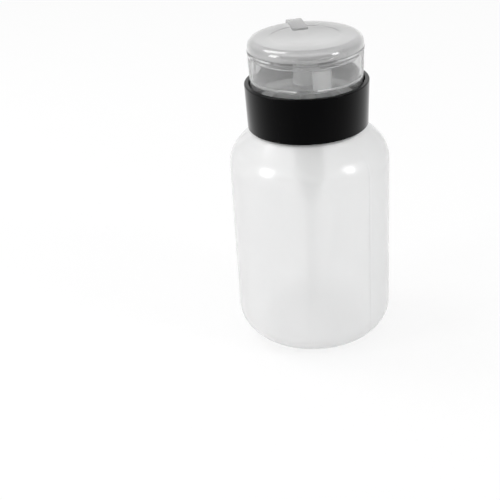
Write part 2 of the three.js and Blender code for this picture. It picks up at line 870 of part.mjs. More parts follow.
// The notch's plan, wider all round by a margin: a slot from behind the rim to its end,
// with a flared mouth and round inner corners.
function notchOutline(margin) {
  const half = notchHalfWidth + margin;
  const mouth = notchMouthRound - margin;
  const mouthY = lidRadius - notchMouthRound;
  const end = notchEndY - margin;
  const behind = lidRadius + cutOverrun;
  const flareX = notchHalfWidth + notchMouthRound;
  return [
    at(-flareX, behind),
    ...bend(-flareX, mouthY, mouth, quarterTurn, 0),
    ...bend(-half + notchEndRound, end + notchEndRound, notchEndRound, Math.PI, Math.PI + quarterTurn, 3),
    ...bend(half - notchEndRound, end + notchEndRound, notchEndRound, -quarterTurn, 0, 3),
    ...bend(flareX, mouthY, mouth, Math.PI, quarterTurn),
    at(flareX, behind),
  ];
}

function makeLid() {
  const recessFloor = lidTop - lidRecessDepth;
  const outside = turned(
    [
      at(0, lidBottom),
      at(lidRadius, lidBottom),
      ...bend(lidRadius - lidEdgeRound, lidTop - lidEdgeRound, lidEdgeRound, 0, quarterTurn),
      at(lidRecessRadius + lidRecessDepth, lidTop),
      at(lidRecessRadius, recessFloor),
      at(0, recessFloor),
    ],
    roundFaces,
  );
  const cavity = turned(
    [
      at(0, lidBottom - cutOverrun),
      at(lidInnerRadius, lidBottom - cutOverrun),
      ...bend(lidRadius - lidEdgeRound, lidTop - lidEdgeRound, lidEdgeRound - lidWall, 0, quarterTurn),
      at(0, lidTop - lidWall),
    ],
    roundFaces,
  );
  const lipTip = lidRadius + thumbLipReach;
  const lipRoot = Math.sqrt(lidRadius ** 2 - thumbLipHalfWidth ** 2);
  const sagitta = lipTip - lipRoot;
  const lipRadius = (thumbLipHalfWidth ** 2 + sagitta ** 2) / (sagitta * 2);
  const thumbLip = bar(lipRadius, lidBottom, lidBottom + thumbLipThickness, roundFaces).translate([
    0,
    lipRadius - lipTip,
    0,
  ]);
  const notch = raised(notchOutline(0), lidBottom - cutOverrun, lidTop + cutOverrun);
  const notchWall = raised(notchOutline(lidWall), lidBottom - cutOverrun * 2, lidTop + cutOverrun);
  let lid = outside.add(thumbLip).subtract(notch);
  hingeLeaves(lidBottom).forEach((leaf) => {
    lid = lid.add(leaf);
  });
  return piece('lid', lid.subtract(cavity.subtract(notchWall)), frosted);
}

function makeSnapLink() {
  const legBack = linkRingPivot.x + linkThickness / 2;
  const legFront = linkRingPivot.x - linkThickness / 2;
  const cornerY = legBack - linkCornerRound;
  const cornerZ = linkTop - linkCornerRound;
  const outline = [
    at(legFront, linkRingPivot.y),
    at(legBack, linkRingPivot.y),
    ...bend(cornerY, cornerZ, linkCornerRound, 0, quarterTurn),
    at(linkEndY, linkTop),
    at(linkEndY, linkTop - linkThickness),
    ...bend(cornerY, cornerZ, linkCornerRound - linkThickness, quarterTurn, 0),
  ];
  return piece('snap_link', widened(outline, linkWidth), frosted);
}

const pump = new THREE.Group();
pump.add(
  makeBottle(),
  makeCollar(),
  makeClosureNut(),
  makeNeckGasket(),
  makePumpCylinder(),
  makeCylinderCap(),
  makeDipTube(),
  makeBall('inlet_ball', inletBallRadius, inletBallHeight),
  makeBallCage(),
  makeReturnSpring(),
  makePistonSeat(),
  makePiston(),
  makePistonStem(),
  makeBall('outlet_ball', outletBallRadius, outletBallHeight),
  makePressHead(),
  makeNozzleCap(),
  makeHingeRing(),
  makeLid(),
  makeSnapLink(),
);

export default pump;
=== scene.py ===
"""Press-top remover bottle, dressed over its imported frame.

A milky blown bottle, a gloss black screw collar, a spring pump with a dip tube, and a clear
dispensing cup under a hinged lid that snaps shut. Sizes are in millimetres and become metres
where a mesh is made. +Z is up, the lid's hinge is on the +Y side.
"""

import logging
import math
from dataclasses import dataclass, replace
from enum import Enum
from typing import Callable, Sequence

import bmesh
import bpy
from mathutils import Matrix, Vector


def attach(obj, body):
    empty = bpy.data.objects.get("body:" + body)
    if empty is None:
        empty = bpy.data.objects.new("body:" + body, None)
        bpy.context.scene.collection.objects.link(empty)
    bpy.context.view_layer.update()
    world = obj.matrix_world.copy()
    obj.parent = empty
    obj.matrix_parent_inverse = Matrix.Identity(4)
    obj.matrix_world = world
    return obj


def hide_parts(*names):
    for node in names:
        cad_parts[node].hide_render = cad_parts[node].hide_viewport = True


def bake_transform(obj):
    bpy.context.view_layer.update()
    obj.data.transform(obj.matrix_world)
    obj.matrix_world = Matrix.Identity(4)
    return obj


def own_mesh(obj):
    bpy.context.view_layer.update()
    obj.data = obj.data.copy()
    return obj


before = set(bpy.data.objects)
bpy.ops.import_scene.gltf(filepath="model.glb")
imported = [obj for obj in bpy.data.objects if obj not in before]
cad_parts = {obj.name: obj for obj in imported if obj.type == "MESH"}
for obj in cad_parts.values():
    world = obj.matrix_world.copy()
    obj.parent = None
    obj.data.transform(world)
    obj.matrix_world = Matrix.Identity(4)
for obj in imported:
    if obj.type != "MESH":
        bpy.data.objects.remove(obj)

LOG = logging.getLogger("press_pump_bottle")

MM = 0.001
SEAT_GAP = 0.3
OVERRUN = 1.0
FULL_TURN = 2 * math.pi
FINE_FACES = 192
ROUND_FACES = 144
INNER_FACES = 72
SMALL_FACES = 48
ON_AXIS = 1e-6
PARALLEL = 1e-4
WELD_DISTANCE = 1e-7
CORNER_SHARE = 0.48
SHARP_TURN = 40.0
SEAM_STEP = 0.006
WIRE_SIDES = 12
THREAD_STEPS = 60
THREAD_FADE = 8
THREAD_SINK = 0.4
THREAD_EASE = 0.1
THREAD_SHOULDER = 0.55
THREAD_CREST = 0.3

Point = tuple[float, float]
Triple = tuple[float, float, float]
Corner = tuple[float, ...]
Colour = tuple[float, float, float]
Settings = tuple[tuple[str, float | tuple[float, ...]], ...]
Solid = bpy.types.Object
Socket = bpy.types.NodeSocket


class Body(Enum):
    """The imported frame's bodies, which the pieces ride on."""

    BOTTLE = "bottle"
    ENGINE = "engine"
    INLET_VALVE = "inlet_valve"
    CLOSURE = "closure"
    PLUNGER = "plunger"
    OUTLET_VALVE = "outlet_valve"
    LID = "lid"
    LINK = "link"


class Slot(Enum):
    """The record's material slots."""

    MILKY = "milky_plastic"
    BLACK = "black_plastic"
    CLEAR = "clear_plastic"
    WHITE = "white_plastic"
    TUBE = "tube_plastic"
    FOAM = "gasket_foam"
    STEEL = "steel"


class Union(Enum):
    """How one solid is combined with another."""

    JOIN = "UNION"
    CUT = "DIFFERENCE"


# ---------------------------------------------------------------- outlines


def rounded(corners: Sequence[Corner], closed: bool = True, step: float = 12.0) -> list[Point]:
    """Rounds the corners of an outline.

    Args:
        corners: Points (x, y) or (x, y, radius), in millimetres.
        closed: Whether the last point joins the first one.
        step: The turn between two points of an arc, in degrees.

    Returns:
        The points of the outline, with an arc at each corner that has a radius.
    """
    points: list[Point] = []
    count = len(corners)
    for index, corner in enumerate(corners):
        here = Vector(corner[:2])
        radius = corner[2] if len(corner) > 2 else 0.0
        if radius <= 0 or (not closed and index in (0, count - 1)):
            points.append((here.x, here.y))
            continue
        before = Vector(corners[index - 1][:2]) - here
        after = Vector(corners[(index + 1) % count][:2]) - here
        angle = before.angle(after)
        reach = radius / math.tan(angle / 2)
        limit = CORNER_SHARE * min(before.length, after.length)
        if reach > limit:
            reach = limit
            radius = reach * math.tan(angle / 2)
        inward = (before.normalized() + after.normalized()).normalized()
        middle = here + inward * (radius / math.sin(angle / 2))
        start = here + before.normalized() * reach - middle
        turn = -start.angle_signed(here + after.normalized() * reach - middle)
        steps = max(1, round(abs(math.degrees(turn)) / step))
        for part in range(steps + 1):
            arm = start.copy()
            arm.rotate(Matrix.Rotation(turn * part / steps, 2))
            points.append((middle.x + arm.x, middle.y + arm.y))
    return points


def arc(
    centre: Point, radius: float, start: float, end: float, step: float = 5.0
) -> list[Point]:
    """Lists points of an arc.

    Args:
        centre: The arc's centre, in millimetres.
        radius: Its radius.
        start: The angle that it starts at, in degrees.
        end: The angle that it ends at.
        step: The turn between two points.

    Returns:
        The points, both ends included.
    """
    steps = max(1, round(abs(end - start) / step))
    angles = [math.radians(start + (end - start) * index / steps) for index in range(steps + 1)]
    return [(centre[0] + radius * math.cos(a), centre[1] + radius * math.sin(a)) for a in angles]


def oblong(
    left: float, right: float, bottom: float, top: float, radius: float = 0.0
) -> list[Corner]:
    """Lists the four corners of an oblong, with one rounding for all if it has any."""
    ends = [(left, bottom), (right, bottom), (right, top), (left, top)]
    return [(*end, radius) for end in ends] if radius else ends


def seated(ball: float, foot: float, mouth: float, depth: float) -> float:
    """Works out how high a ball stands in a cone.

    Args:
        ball: The ball's radius.
        foot: The cone's radius at its foot.
        mouth: Its radius at its mouth.
        depth: Its depth.

    Returns:
        The height of the ball's centre over the cone's foot, with the seat gap between them.
    """
    slope = math.hypot(mouth - foot, depth)
    return (ball + SEAT_GAP - foot * depth / slope) * slope / (mouth - foot)


# ---------------------------------------------------------------- solids


def added(name: str, data: bpy.types.ID) -> Solid:
    """Adds an object to the scene.

    Args:
        name: Its name.
        data: Its mesh, lamp or camera.

    Returns:
        The object.
    """
    made = bpy.data.objects.new(name, data)
    bpy.context.scene.collection.objects.link(made)
    return made


def solid(
    name: str, vertices: Sequence[Sequence[float]], faces: Sequence[Sequence[int]]
) -> Solid:
    """Makes a closed solid, with its faces pointing out.

    Args:
        name: The object's name.
        vertices: Its points, in millimetres.
        faces: Each face's point numbers.

    Returns:
        The object, linked to the scene.
    """
    mesh = bpy.data.meshes.new(name)
    mesh.from_pydata([tuple(value * MM for value in vertex) for vertex in vertices], [], faces)
    work = bmesh.new()
    work.from_mesh(mesh)
    bmesh.ops.remove_doubles(work, verts=work.verts, dist=WELD_DISTANCE)
    bmesh.ops.recalc_face_normals(work, faces=work.faces)
    work.to_mesh(mesh)
    work.free()
    return added(name, mesh)


def turned(
    name: str,
    corners: Sequence[Corner],
    faces: int = ROUND_FACES,
    step: float = 12.0,
    ridges: Sequence[float] = (),
    swell: Callable[[float, float, float], float] | None = None,
) -> Solid:
    """Turns a profile round the Z axis.

    Args:
        name: The object's name.
        corners: The profile's (radius, height) or (radius, height, rounding) points.
        faces: How many faces go round.
        step: The turn between two points of a rounded corner, in degrees.
        ridges: Angles, in radians, that get points close together.
        swell: Gives the extra radius at an angle, a radius and a height.

    Returns:
        The turned solid.
    """
    to_axis = corners[0][0] < ON_AXIS
    angles = {round(FULL_TURN * index / faces, 6) for index in range(faces)}
    for ridge in ridges:
        angles |= {round((ridge + shift * SEAM_STEP) % FULL_TURN, 6) for shift in range(-3, 4)}
    ordered = sorted(angles)
    vertices: list[Triple] = []
    rings: list[list[int]] = []
    for radius, height in rounded(corners, closed=not to_axis, step=step):
        around = [0.0] if radius < ON_AXIS else ordered
        rings.append(list(range(len(vertices), len(vertices) + len(around))))
        for angle in around:
            out = radius + (swell(angle, radius, height) if swell else 0.0)
            vertices.append((out * math.cos(angle), out * math.sin(angle), height))
    skin: list[list[int]] = []
    for low, high in zip(rings, rings[1:] if to_axis else rings[1:] + rings[:1]):
        for index in range(len(ordered)):
            after = (index + 1) % len(ordered)
            if len(low) == 1:
                skin.append([low[0], high[after], high[index]])
            elif len(high) == 1:
                skin.append([low[index], low[after], high[0]])
            else:
                skin.append([low[index], low[after], high[after], high[index]])
    return solid(name, vertices, skin)


def lofted(name: str, vertices: Sequence[Sequence[float]], sides: int) -> Solid:
    """Skins equal sections that follow each other, and closes both ends.

    Args:
        name: The object's name.
        vertices: The points of one section after the other, in millimetres.
        sides: How many points a section has.

    Returns:
        The solid.
    """
    last = len(vertices) - sides
    faces = [list(range(sides)), list(range(last, len(vertices)))]
    for first in range(0, last, sides):
        for count in range(sides):
            after = (count + 1) % sides
            ahead = first + sides
            faces.append([first + count, first + after, ahead + after, ahead + count])
    return solid(name, vertices, faces)


def raised(name: str, outline: Sequence[Point], bottom: float, top: float) -> Solid:
    """Raises a plan outline from one height to another."""
    return lofted(name, [(x, y, z) for z in (bottom, top) for x, y in outline], len(outline))


def widened(name: str, outline: Sequence[Point], width: float, middle: float = 0.0) -> Solid:
    """Widens a side outline of (y, z) points along X, about a middle plane."""
    ends = (middle - width / 2, middle + width / 2)
    return lofted(name, [(x, y, z) for x in ends for y, z in outline], len(outline))


def wire(name: str, route: Sequence[Vector], radius: float) -> Solid:
    """Runs a round wire along a route.

    Args:
        name: The object's name.
        route: The wire's centreline, in millimetres.
        radius: The wire's radius.

    Returns:
        The wire, with flat ends.
    """
    vertices: list[Vector] = []
    normal = Vector((0, 0, 1))
    for index, point in enumerate(route):
        along = (route[min(index + 1, len(route) - 1)] - route[max(index - 1, 0)]).normalized()
        side = along.cross(normal)
        if side.length < PARALLEL:
            side = along.orthogonal()
        side.normalize()
        normal = side.cross(along).normalized()
        for count in range(WIRE_SIDES):
            angle = FULL_TURN * count / WIRE_SIDES
            vertices.append(point + (side * math.cos(angle) + normal * math.sin(angle)) * radius)
    return lofted(name, vertices, WIRE_SIDES)


def screw_ridge(
    name: str, root: float, crest: float, width: float, pitch: float, turns: float, start: float
) -> Solid:
    """Makes a screw thread's ridge, sunk into its wall and fading at both ends.

    Args:
        name: The object's name.
        root: The wall's radius.
        crest: The ridge's radius at its top.
        width: The ridge's width at the wall.
        pitch: How far it climbs in a turn.
        turns: How many turns it makes.
        start: The height that it starts at.

    Returns:
        The ridge.
    """
    outward = 1 if crest > root else -1
    sunk = root - outward * THREAD_SINK
    half = width / 2
    steps = round(turns * THREAD_STEPS)
    vertices: list[Triple] = []
    for step in range(steps + 1):
        angle = FULL_TURN * step / THREAD_STEPS
        height = start + pitch * step / THREAD_STEPS
        fade = min(1.0, (step + 1) / THREAD_FADE, (steps - step + 1) / THREAD_FADE)
        peak = sunk + (crest - sunk) * fade
        shoulder = peak - outward * THREAD_EASE * fade
        flank = [(sunk, -half), (shoulder, -half * THREAD_SHOULDER), (peak, -half * THREAD_CREST)]
        section = flank + [(x, -y) for x, y in reversed(flank)]
        vertices += [(x * math.cos(angle), x * math.sin(angle), height + y) for x, y in section]
    return lofted(name, vertices, len(section))


def settle(made: Solid) -> Solid:
    """Applies an object's modifiers to its mesh.

    Args:
        made: The object.

    Returns:
        The same object.
    """
    bpy.context.view_layer.update()
    graph = bpy.context.evaluated_depsgraph_get()
    mesh = bpy.data.meshes.new_from_object(made.evaluated_get(graph))
    made.modifiers.clear()
    made.data = mesh
    mesh.name = made.name
    return made


def combined(base: Solid, others: Sequence[Solid], how: Union = Union.JOIN) -> None:
    """Joins solids to a base, or cuts them out of it.

    Args:
        base: The solid that stays, with a new mesh.
        others: The solids that go into it, which are removed.
        how: Whether they are joined or cut.
    """
    for other in others:
        modifier = base.modifiers.new("combine", "BOOLEAN")
        modifier.operation = how.value
        modifier.solver = "MANIFOLD"
        modifier.object = other
    settle(base)
    for other in others:
        bpy.data.objects.remove(other)


def softened(made: Solid, width: float, segments: int = 2) -> Solid:
    """Rounds the sharp edges of a solid.

    Args:
        made: The solid.
        width: How far the rounding reaches, in millimetres.
        segments: How many facets make it.

    Returns:
        The same solid.
    """
    modifier = made.modifiers.new("soften", "BEVEL")
    modifier.width = width * MM
    modifier.segments = segments
    modifier.limit_method = "ANGLE"
    modifier.angle_limit = math.radians(SHARP_TURN)
    return settle(made)


def spun(made: Solid, degrees: float) -> Solid:
    """Turns a solid's mesh about the Z axis."""
    made.data.transform(Matrix.Rotation(math.radians(degrees), 4, "Z"))
    return made


def spaced(count: int, make: Callable[[int], Solid], start: float = 0.0) -> list[Solid]:
    """Spaces solids evenly round the Z axis, from an angle in degrees."""
    return [spun(make(turn), 360 * turn / count + start) for turn in range(count)]


# ---------------------------------------------------------------- finishes


class Wiring:
    """Adds and links the nodes of one material or world."""

    def __init__(self, owner: bpy.types.Material | bpy.types.World) -> None:
        """Switches the owner's nodes on and keeps their tree."""
        owner.use_nodes = True
        self.tree = owner.node_tree

    def feed(self, node: bpy.types.Node, inputs: dict[str | int, object]) -> None:
        """Fills a node's inputs.

        Args:
            node: The node.
            inputs: A value, or a socket to link, for each input's name or number.
        """
        for key, value in inputs.items():
            if isinstance(value, Socket):
                self.tree.links.new(value, node.inputs[key])
            else:
                node.inputs[key].default_value = value

    def add(
        self, kind: str, inputs: dict[str | int, object] | None = None, **settings: object
    ) -> bpy.types.Node:
        """Adds a node.

        Args:
            kind: The node's type.
            inputs: What feed() fills its inputs with.
            **settings: The node's own settings.

        Returns:
            The node.
        """
        node = self.tree.nodes.new(kind)
        for key, value in settings.items():
            setattr(node, key, value)
        self.feed(node, inputs or {})
        return node

    def place(self, stretch: Triple = (1, 1, 1)) -> Socket:
        """Gives the piece's own coordinates, stretched."""
        source = self.add("ShaderNodeTexCoord").outputs["Object"]
        return self.add("ShaderNodeMapping", {"Vector": source, "Scale": stretch}).outputs[0]

    def noise(self, scale: float, detail: float = 2.0, stretch: Triple = (1, 1, 1)) -> Socket:
        """Gives a cloudy pattern, with its scale in features for each metre."""
        inputs = {"Vector": self.place(stretch), "Scale": scale, "Detail": detail}
        return self.add("ShaderNodeTexNoise", inputs).outputs["Fac"]

    def spread(
        self, value: Socket, low: float, high: float, start: float = 0.35, end: float = 0.65
    ) -> Socket:
        """Maps a pattern's values between start and end onto the range from low to high."""
        inputs = {"Value": value, "From Min": start, "From Max": end, "To Min": low, "To Max": high}
        return self.add("ShaderNodeMapRange", inputs).outputs["Result"]

    def reckon(self, operation: str, first: Socket, second: Socket) -> Socket:
        """Works out one value from two."""
        return self.add("ShaderNodeMath", {0: first, 1: second}, operation=operation).outputs[0]

    def blend(self, share: Socket, first: Colour, second: Colour) -> Socket:
        """Mixes two colours by a pattern."""
        inputs = {0: share, 6: (*first, 1), 7: (*second, 1)}
        return self.add("ShaderNodeMix", inputs, data_type="RGBA").outputs[2]

    def bump(self, height: Socket, strength: float, depth: float) -> Socket:
        """Turns a pattern into a relief of a depth in millimetres."""
        inputs = {"Height": height, "Strength": strength, "Distance": depth * MM}
        return self.add("ShaderNodeBump", inputs).outputs["Normal"]


@dataclass(frozen=True)
class Finish:
    """A moulded surface: two near colours, a range of gloss and a fine relief."""

    title: str
    slot: Slot
    pale: Colour
    deep: Colour
    cloud_scale: float = 60.0
    gloss_range: tuple[float, float] = (0.3, 0.4)
    grain_scale: float = 1800.0
    grain_depth: float = 0.01
    grain_strength: float = 0.2
    flow: Triple = (1, 1, 0.25)
    fixed: Settings = ()

    def material(self) -> bpy.types.Material:
        """Gives the finish's material.

        Returns:
            The material, which is made at the first call.
        """
        made = bpy.data.materials.get(self.title)
        if made is None:
            made = bpy.data.materials.new(self.title)
            wiring = Wiring(made)
            inputs = {
                **dict(self.fixed),
                "Base Color": self.colour(wiring),
                "Roughness": self.gloss(wiring),
                "Normal": wiring.bump(self.relief(wiring), self.grain_strength, self.grain_depth),
            }
            wiring.feed(wiring.tree.nodes["Principled BSDF"], inputs)
        return made

    def colour(self, wiring: Wiring) -> Socket:
        """Mixes the two colours in soft clouds."""
        clouds = wiring.noise(self.cloud_scale, 3.0, self.flow)
        return wiring.blend(wiring.spread(clouds, 0, 1), self.pale, self.deep)

    def gloss(self, wiring: Wiring) -> Socket:
        """Varies the roughness along the flow of the plastic."""
        flecks = wiring.noise(self.cloud_scale * 4, 2.0, self.flow)
        return wiring.spread(flecks, *self.gloss_range)

    def relief(self, wiring: Wiring) -> Socket:
        """Gives the fine grain of the mould."""
        return wiring.noise(self.grain_scale)

    def dress(self, made: Solid) -> None:
        """Puts the finish on a piece.

        Args:
            made: The piece.
        """
        made.data.materials.clear()
        made.data.materials.append(self.material())

    def dress_part(self, made: Solid, chosen: Callable[[bpy.types.MeshPolygon], bool]) -> None:
        """Puts the finish on some faces of a dressed piece.

        Args:
            made: The piece.
            chosen: Tells whether a face gets it.
        """
        made.data.materials.append(self.material())
        for face in made.data.polygons:
            face.material_index = int(chosen(face))


@dataclass(frozen=True)
class BlownFinish(Finish):
    """A blown wall, whose thickness wanders in wide waves and faint upright streaks."""

    streak_scale: float = 160.0
    wave_scale: float = 55.0

    def relief(self, wiring: Wiring) -> Socket:
        """Adds upright streaks to a slow waviness.

        Args:
            wiring: The nodes that it goes in.

        Returns:
            The height.
        """
        streaks = wiring.noise(self.streak_scale, 1.0, (1, 1, 0.06))
        waves = wiring.spread(wiring.noise(self.wave_scale, 1.0), 0, 1)
        return wiring.reckon("ADD", wiring.spread(streaks, 0, 0.4), waves)


@dataclass(frozen=True)
class FoamFinish(Finish):
    """Closed-cell foam, with its cells as a relief."""

    cell_scale: float = 2600.0

    def relief(self, wiring: Wiring) -> Socket:
        """Gives the round cells."""
        inputs = {"Vector": wiring.place(), "Scale": self.cell_scale}
        return wiring.add("ShaderNodeTexVoronoi", inputs).outputs["Distance"]


@dataclass(frozen=True)
class DrawnFinish(Finish):
    """Drawn and polished steel, with fine lines along its drawing."""

    line_scale: float = 5000.0

    def relief(self, wiring: Wiring) -> Socket:
        """Gives the drawing lines."""
        return wiring.noise(self.line_scale, 2.0, (0.2, 0.2, 1))


def see_through(share: float, index: float) -> Settings:
    """Lists the settings of a wall that lets a share of the light through."""
    return (("Transmission Weight", share), ("IOR", index))


def coated(weight: float, roughness: float) -> Settings:
    """Lists the settings of a glossy skin."""
    return (("Coat Weight", weight), ("Coat Roughness", roughness))


MILKY = BlownFinish(
    title="milky_polythene",
    slot=Slot.MILKY,
    pale=(0.99, 0.99, 0.99),
    deep=(0.975, 0.978, 0.978),
    cloud_scale=28.0,
    gloss_range=(0.285, 0.33),
    grain_depth=0.008,
    grain_strength=0.08,
    fixed=see_through(0.55, 1.4) + coated(0.8, 0.2),
)
MILKY_INSIDE = replace(
    MILKY,
    title="milky_polythene_inside",
    pale=(1.0, 1.0, 1.0),
    deep=(0.99, 0.99, 0.99),
    gloss_range=(0.1, 0.15),
    fixed=see_through(1.0, 1.5),
)
BLACK = Finish(
    title="gloss_black",
    slot=Slot.BLACK,
    pale=(0.0012, 0.0012, 0.0014),
    deep=(0.002, 0.002, 0.0022),
    cloud_scale=90.0,
    gloss_range=(0.02, 0.04),
    grain_scale=900.0,
    grain_depth=0.004,
    grain_strength=0.15,
    # The specular tint damps the collar's reflection of the white surroundings: a painted darkening
    # of its reflection, as if dark surroundings stood in front of it.
    fixed=(("IOR", 1.35), ("Specular Tint", (0.1, 0.1, 0.1, 1.0))),
)
CLEAR = Finish(
    title="clear_cup",
    slot=Slot.CLEAR,
    pale=(0.9, 0.9, 0.9),
    deep=(0.865, 0.868, 0.868),
    cloud_scale=70.0,
    gloss_range=(0.1, 0.15),
    grain_scale=700.0,
    grain_depth=0.02,
    grain_strength=0.12,
    fixed=see_through(0.9, 1.2),
)
FROSTED = Finish(
    title="frosted_lid",
    slot=Slot.CLEAR,
    pale=(0.67, 0.67, 0.67),
    deep=(0.64, 0.642, 0.642),
    cloud_scale=80.0,
    gloss_range=(0.12, 0.17),
    grain_scale=900.0,
    grain_depth=0.02,
    grain_strength=0.15,
    fixed=see_through(0.68, 1.45) + coated(1.0, 0.03),
)
# The link gets a lighter copy of the lid's finish: painted light that offsets the shade in the
# notch gap around it.
LINK = replace(
    FROSTED,
    title="frosted_link_painted_lighter",
    pale=(0.74, 0.74, 0.74),
    deep=(0.71, 0.712, 0.712),
    fixed=see_through(0.68, 1.45),
)
HAZY = replace(
    FROSTED,
    title="hazy_pads",
    pale=(0.97, 0.97, 0.97),
    deep=(0.94, 0.942, 0.942),
    cloud_scale=70.0,
    fixed=see_through(0.55, 1.3),
)
# Natural white plastic toned down to grey: partly its own off-white, partly painted shade for the
# pump parts that sit in shade inside the bottle and under the collar.
NATURAL_WITH_PAINTED_SHADE = Finish(
    title="natural_white_with_painted_shade",
    slot=Slot.WHITE,
    pale=(0.74, 0.75, 0.74),
    deep=(0.69, 0.7, 0.7),
    gloss_range=(0.36, 0.46),
    fixed=(("IOR", 1.46),),
)
TUBING = Finish(
    title="natural_tubing",
    slot=Slot.TUBE,
    pale=(0.98, 0.98, 0.98),
    deep=(0.95, 0.96, 0.96),
    gloss_range=(0.29, 0.36),
    flow=(1, 1, 0.08),
    fixed=see_through(0.98, 1.15),
)
FOAM = FoamFinish(
    title="gasket_foam",
    slot=Slot.FOAM,
    pale=(0.78, 0.78, 0.76),
    deep=(0.7, 0.7, 0.68),
    gloss_range=(0.8, 0.9),
    grain_depth=0.06,
    grain_strength=0.6,
)
STEEL = DrawnFinish(
    title="bright_steel",
    slot=Slot.STEEL,
    pale=(0.62, 0.63, 0.65),
    deep=(0.5, 0.51, 0.53),
    gloss_range=(0.14, 0.22),
    grain_depth=0.01,
    grain_strength=0.3,
    fixed=(("Metallic", 1.0),),
)


def placed(made: Solid, finish: Finish, body: Body, node: str, sharp: float = 32.0) -> None:
    """Dresses a piece, lets it ride on its body and reports it.

    Args:
        made: The piece.
        finish: Its finish.
        body: The body that it rides on.
        node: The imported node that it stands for.
        sharp: The turn at which an edge shows, in degrees.
    """
    made.data.shade_smooth()
    made.data.set_sharp_from_angle(angle=math.radians(sharp))
    finish.dress(made)
    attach(made, body.value)
    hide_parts(node)
    faces = len(made.data.polygons)
    LOG.info("%s on %s, %d faces, %s", made.name, body.value, faces, finish.title)


def round_piece(
    node: str, corners: Sequence[Corner], finish: Finish, body: Body, faces: int = INNER_FACES
) -> None:
    """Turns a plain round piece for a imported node, and places it.

    Args:
        node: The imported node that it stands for.
        corners: Its profile.
        finish: Its finish.
        body: The body that it rides on.
        faces: How many faces go round.
    """
    placed(turned(f"{node}_fine", corners, faces), finish, body, node)


def bent(made: Solid, finish: Finish, body: Body) -> None:
    """Dresses a film that bends from the plunger to another body, and reports it.

    Args:
        made: The film.
        finish: Its finish.
        body: The body at its far end.
    """
    made.data.shade_smooth()
    finish.dress(made)
    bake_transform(made)
    LOG.info("%s bends between plunger and %s", made.name, body.value)


# ---------------------------------------------------------------- the object


@dataclass
class Levels:
    """Heights and radii that the sub-assemblies share, chained as in the part itself."""

    bottle_radius: float = 31.0
    bottle_wall: float = 1.2
    base_rise: float = 1.8
    side_height: float = 74.0
    shoulder_radius: float = 12.0
    shoulder_turn: float = 45.0
    ledge_margin: float = 0.5
    neck_radius: float = 15.2
    neck_wall: float = 1.8
    neck_height: float = 7.75
    thread_depth: float = 1.0
    thread_pitch: float = 3.0
    thread_lead: float = 1.5
    nut_wall: float = 1.9
    nut_height: float = 10.1
    nut_flange: float = 1.0
    gasket: float = 0.8
    pump_flange: float = 1.1
    collar_height: float = 17.5
    collar_lip: float = 0.8
    collar_lip_reach: float = 0.75
    cup_skirt_gap: float = 1.65
    cup_wall: float = 1.1
    cup_run_gap: float = 0.7
    cup_taper: float = 0.55
    cup_rise: float = 11.4
    dish_depth: float = 9.15
    dish_drop: float = 3.5
    dish_thickness: float = 1.0
    boss_height: float = 8.4
    stem_radius: float = 2.9
    stem_bore: float = 1.3
    stem_rise: float = 4.6
    outlet_ball: float = 1.5
    outlet_lift: float = 0.8
    outlet_mouth: float = 2.2
    outlet_cone: float = 1.0
    ring_thickness: float = 1.0
    ring_overhang: float = 0.1
    lid_inset: float = 0.1
    lid_height: float = 3.9
    lid_wall: float = 1.0

    def __post_init__(self) -> None:
        """Works out the radii and heights that follow from the sizes."""
        # Radii, from the neck out to the lid
        self.neck_bore = self.neck_radius - self.neck_wall
        self.nut_bore = self.neck_radius + self.thread_depth + SEAT_GAP
        self.nut_radius = self.nut_bore + self.nut_wall
        self.cup_low_inner = self.nut_radius + self.cup_skirt_gap
        self.cup_low = self.cup_low_inner + self.cup_wall
        self.cup_top = self.cup_low + self.cup_taper
        self.collar_bore = self.cup_low + self.cup_run_gap
        self.collar_lip_radius = self.collar_bore - self.collar_lip_reach
        self.ring_radius = self.cup_top + self.ring_overhang
        self.lid_radius = self.ring_radius - self.lid_inset
        # The shoulder's arc, its straight slope and the ledge that the slope ends at
        turn = math.radians(self.shoulder_turn)
        self.shoulder_centre = self.bottle_radius - self.shoulder_radius
        self.ledge_radius = self.collar_lip_radius + self.ledge_margin
        slope_foot = self.shoulder_centre + self.shoulder_radius * math.cos(turn)
        slope_rise = (slope_foot - self.ledge_radius) / math.tan(turn)
        self.ledge_top = self.side_height + self.shoulder_radius * math.sin(turn) + slope_rise
        # The neck, the closure on it and the pump's flange
        self.neck_top = self.ledge_top + self.neck_height
        self.gasket_bottom = self.neck_top + SEAT_GAP
        self.gasket_top = self.gasket_bottom + self.gasket
        self.flange_bottom = self.gasket_top + SEAT_GAP
        self.flange_top = self.flange_bottom + self.pump_flange
        self.nut_top = self.flange_top + SEAT_GAP + self.nut_flange
        self.nut_bottom = self.nut_top - self.nut_height
        self.collar_bottom = self.nut_bottom - SEAT_GAP - self.collar_lip
        self.collar_top = self.collar_bottom + self.collar_height
        # The cup, its dish and boss, and the outlet valve in the stem's top
        self.cup_rim = self.collar_top + self.cup_rise
        self.dish_edge = self.cup_rim - self.dish_depth
        self.dish_centre = self.dish_edge - self.dish_drop
        self.dish_under = self.dish_centre - self.dish_thickness
        self.boss_top = self.dish_centre + self.boss_height
        self.stem_top = self.dish_under + self.stem_rise
        seat = seated(self.outlet_ball, self.stem_bore, self.outlet_mouth, self.outlet_cone)
        self.outlet_height = self.stem_top - self.outlet_cone + seat
        # The ring and the lid
        self.ring_bottom = self.cup_rim + SEAT_GAP
        self.ring_top = self.ring_bottom + self.ring_thickness
        self.lid_bottom = self.ring_top + SEAT_GAP
        self.lid_top = self.lid_bottom + self.lid_height


